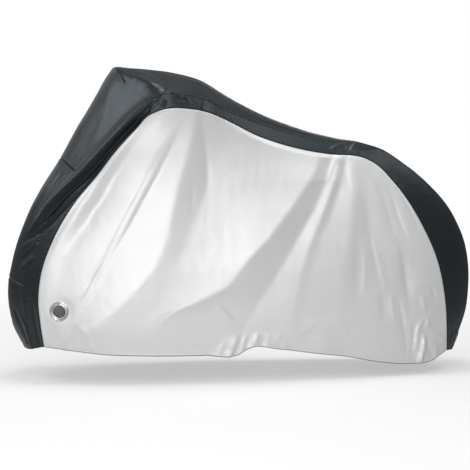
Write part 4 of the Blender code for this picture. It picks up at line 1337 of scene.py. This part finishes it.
# Stitches: one short thread after another along guide lines that lie on the cloth.
stitch = {
    "hemPitch": 0.0042,
    "bandPitch": 0.0046,
    "length": 0.0028,
    "width": 0.00065,
    "smallest": 0.85,       # each stitch is this much to that much of its size
    "largest": 1.10,
    "rise": 0.0002,
    "inset": 0.0050,        # from a gusset's seams
    "belowHemEnd": 0.002,   # the hem's row runs this far below the end of the turned-in cloth
    "seed": 5,
}


def stitchTree():
    tree = bpy.data.node_groups.new("stitchRun", "GeometryNodeTree")
    sockets = {"Guide": "Geometry", "Pitch": "Float", "Length": "Float", "Width": "Float", "Seed": "Int",
               "Thread": "Material"}
    for label, kind in sockets.items():
        tree.interface.new_socket(name=label, in_out="INPUT", socket_type="NodeSocket" + kind)
    tree.interface.new_socket(name="Stitches", in_out="OUTPUT", socket_type="NodeSocketGeometry")
    given = tree.nodes.new("NodeGroupInput").outputs
    result = tree.nodes.new("NodeGroupOutput").inputs
    curve = addNode(tree, "GeometryNodeMeshToCurve", {"Mesh": given["Guide"]}).outputs["Curve"]
    points = addNode(tree, "GeometryNodeCurveToPoints", {"Curve": curve, "Length": given["Pitch"]},
                     mode="LENGTH").outputs
    facing = addNode(tree, "GeometryNodeInputNamedAttribute", {"Name": "clothNormal"},
                     data_type="FLOAT_VECTOR").outputs["Attribute"]
    along = addNode(tree, "FunctionNodeAlignRotationToVector", {"Vector": points["Tangent"]}, axis="X")
    upright = addNode(tree, "FunctionNodeAlignRotationToVector",
                      {"Rotation": along.outputs["Rotation"], "Vector": facing}, axis="Z", pivot_axis="X")
    ball = addNode(tree, "GeometryNodeMeshUVSphere", {"Segments": 5, "Rings": 3, "Radius": 0.5})
    size = addNode(tree, "ShaderNodeCombineXYZ",
                   {"X": given["Length"], "Y": given["Width"], "Z": given["Width"]}).outputs["Vector"]
    jitter = addNode(tree, "FunctionNodeRandomValue", data_type="FLOAT")
    jitterInputs = {socket.identifier: socket for socket in jitter.inputs}
    jitterInputs["Min_001"].default_value = stitch["smallest"]
    jitterInputs["Max_001"].default_value = stitch["largest"]
    tree.links.new(given["Seed"], jitterInputs["Seed"])
    share = next(socket for socket in jitter.outputs if socket.identifier == "Value_001")
    scaled = addNode(tree, "ShaderNodeVectorMath", {0: size, "Scale": share}, operation="SCALE")
    laid = addNode(tree, "GeometryNodeInstanceOnPoints", {
        "Points": points["Points"],
        "Instance": ball.outputs["Mesh"],
        "Rotation": upright.outputs["Rotation"],
        "Scale": scaled.outputs["Vector"],
    })
    whole = addNode(tree, "GeometryNodeRealizeInstances", {"Geometry": laid.outputs["Instances"]})
    dressed = addNode(tree, "GeometryNodeSetMaterial",
                      {"Geometry": whole.outputs["Geometry"], "Material": given["Thread"]})
    tree.links.new(dressed.outputs["Geometry"], result["Stitches"])
    return tree


stitchRun = stitchTree()


def sewRuns(name, runs, material, slot, pitch):
    # runs are lines of points with the cloth's outward direction at each
    points = np.vstack([line for line, _ in runs])
    normals = np.vstack([out for _, out in runs])
    edges, first = [], 0
    for line, _ in runs:
        edges += [(first + k, first + k + 1) for k in range(len(line) - 1)]
        first += len(line)
    data = bpy.data.meshes.new(name)
    data.from_pydata([tuple(point) for point in points + normals * stitch["rise"]], edges, [])
    facing = data.attributes.new("clothNormal", "FLOAT_VECTOR", "POINT")
    facing.data.foreach_set("vector", normals.astype(np.float32).ravel())
    guide = placed(name + "_guide", data)
    modifier = guide.modifiers.new("stitches", "NODES")
    modifier.node_group = stitchRun
    sockets = {item.name: item.identifier for item in stitchRun.interface.items_tree}
    values = {"Pitch": pitch, "Length": stitch["length"], "Width": stitch["width"], "Seed": stitch["seed"],
              "Thread": material}
    for label, value in values.items():
        modifier[sockets[label]] = value
    bpy.context.view_layer.update()
    evaluated = guide.evaluated_get(bpy.context.evaluated_depsgraph_get())
    made = bpy.data.meshes.new_from_object(evaluated)
    guide.modifiers.clear()
    bpy.data.objects.remove(guide)
    if not made.materials:
        made.materials.append(material)
    made.shade_smooth()
    finishPiece(placed(name, made), slot)


def gridRun(grid, out, side, inset):
    # the line on a grid that keeps a distance from one of its borders, and the cloth's direction along it
    work = np.concatenate([seenFrom(grid, side), seenFrom(out, side)], axis=2)
    depth = gridArcs(work[..., :3], 0)
    line = np.array([[np.interp(inset, depth[:, column], values) for values in work[:, column].T]
                     for column in range(work.shape[1])])
    return line[:, :3], unit(line[:, 3:])


for side in panelSides:
    runs = []
    for name in ("front_gusset_", "rear_gusset_"):
        grid = bandGrids[name + side]
        for border in ("low", "high") if side == "near" else ("high", "low"):
            runs.append(gridRun(grid, gridNormals(grid), border, stitch["inset"]))
    sewRuns("band_stitches_" + side, runs, blackThread, "black_polyester", stitch["bandPitch"])
    hemRows = len(hemSection(0.0))
    out = gridNormals(panelGrids[side]) * panelSides[side]["turn"]
    hemRun = gridRun(panelGrids[side][:, hemRows:], out[:, hemRows:], "low",
                     panelShape["hemDepth"] - stitch["belowHemEnd"])
    sewRuns("hem_stitches_" + side, [hemRun], silverThread, "silver_polyester", stitch["hemPitch"])
print("stitches sewn")


stage = {
    "floorRadius": 3.2,
    "floorClear": 0.9,    # the floor is whole up to here from the middle, then fades out
    "floorFade": 0.96,    # share of the radius at which it is gone
    "floorColour": 0.86,
    "floorRoughness": 0.9,
    "floorSpecular": 0.1,
    "floorAlpha": 0.55,
}


def makeFloor():
    shape = bmesh.new()
    bmesh.ops.create_circle(shape, cap_ends=True, segments=96, radius=stage["floorRadius"])
    data = bpy.data.meshes.new("floor")
    shape.to_mesh(data)
    shape.free()
    for vertex in data.vertices:
        vertex.co += Vector((middle.x, 0.0, float(toFrame[2])))
    material, tree, shader, place = newMaterial("paleFloor", {
        "Base Color": (*(stage["floorColour"],) * 3, 1.0),
        "Roughness": stage["floorRoughness"],
        "Specular IOR Level": stage["floorSpecular"],
    })
    axes = axesNode(tree, place)
    away = mathNode(tree, "SUBTRACT", axes["X"], middle.x)
    squares = [mathNode(tree, "MULTIPLY", leg, leg) for leg in (away, axes["Y"])]
    radius = mathNode(tree, "SQRT", mathNode(tree, "ADD", *squares))
    fadeEnd = stage["floorRadius"] * stage["floorFade"]
    alpha = rangeNode(tree, radius, stage["floorClear"], fadeEnd, stage["floorAlpha"], 0.0)
    tree.links.new(alpha, shader["Alpha"])
    data.materials.append(material)
    placed("floor", data)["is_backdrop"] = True


makeFloor()


# Lights: azimuth from the front towards the tail side, height above the horizon, power.
lamps = {
    "front key": (-20, 8, 48),
    "front top": (-12, 36, 28),
    "right top": (22, 45, 6),
    "right softbox": (80, 46, 20),
    "overhead": (0, 90, 72),
    "hood softbox": (-100, 36, 33),
    "rim softbox": (-150, 22, 5),
    "far softbox": (160, 6, 20),
}
lampForm = {
    "away": 4.0,
    "size": 1.6,
}
worldLook = {
    "seen": 1.0,
    "light": 0.27,
}
view = {
    "azimuth": -9.0,
    "height": 4.0,
    "away": 6.0,
    "lens": 120.94,
}


def aimed(thing, azimuth, height, away):
    # set up round the middle of the cover and turned towards it
    turn, rise = math.radians(azimuth), math.radians(height)
    back = Vector((math.sin(turn) * math.cos(rise), -math.cos(turn) * math.cos(rise), math.sin(rise)))
    thing.location = middle + back * away
    thing.rotation_mode = "QUATERNION"
    thing.rotation_quaternion = (thing.location - middle).to_track_quat("Z", "Y")
    return thing


for name, (azimuth, height, power) in lamps.items():
    data = bpy.data.lights.new(name, "AREA")
    data.shape = "RECTANGLE"
    data.size = data.size_y = lampForm["size"]
    data.energy = power
    aimed(placed(name, data), azimuth, height, lampForm["away"])

scene = bpy.context.scene
scene.world = bpy.data.worlds.new("studio")
scene.world.use_nodes = True
worldTree = scene.world.node_tree
background = next(node for node in worldTree.nodes if node.type == "BACKGROUND")
background.inputs["Color"].default_value = (1.0, 1.0, 1.0, 1.0)
isSeen = addNode(worldTree, "ShaderNodeLightPath").outputs["Is Camera Ray"]
strength = rangeNode(worldTree, isSeen, 0, 1, worldLook["light"], worldLook["seen"])
worldTree.links.new(strength, background.inputs["Strength"])

cameraData = bpy.data.cameras.new("camera")
cameraData.sensor_width = 36.0
cameraData.lens = view["lens"]
cameraData.clip_end = 60.0
scene.camera = aimed(placed("camera", cameraData), view["azimuth"], view["height"], view["away"])
scene.view_settings.view_transform = "Standard"
scene.view_settings.look = "None"
print("lights and camera set")

graph = bpy.context.evaluated_depsgraph_get()
counts = {}
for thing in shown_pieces():
    mesh = thing.evaluated_get(graph).data
    mesh.calc_loop_triangles()
    counts[thing.name] = len(mesh.loop_triangles)
print("triangles:", sum(counts.values()), "most:", max(counts.values()), counts)
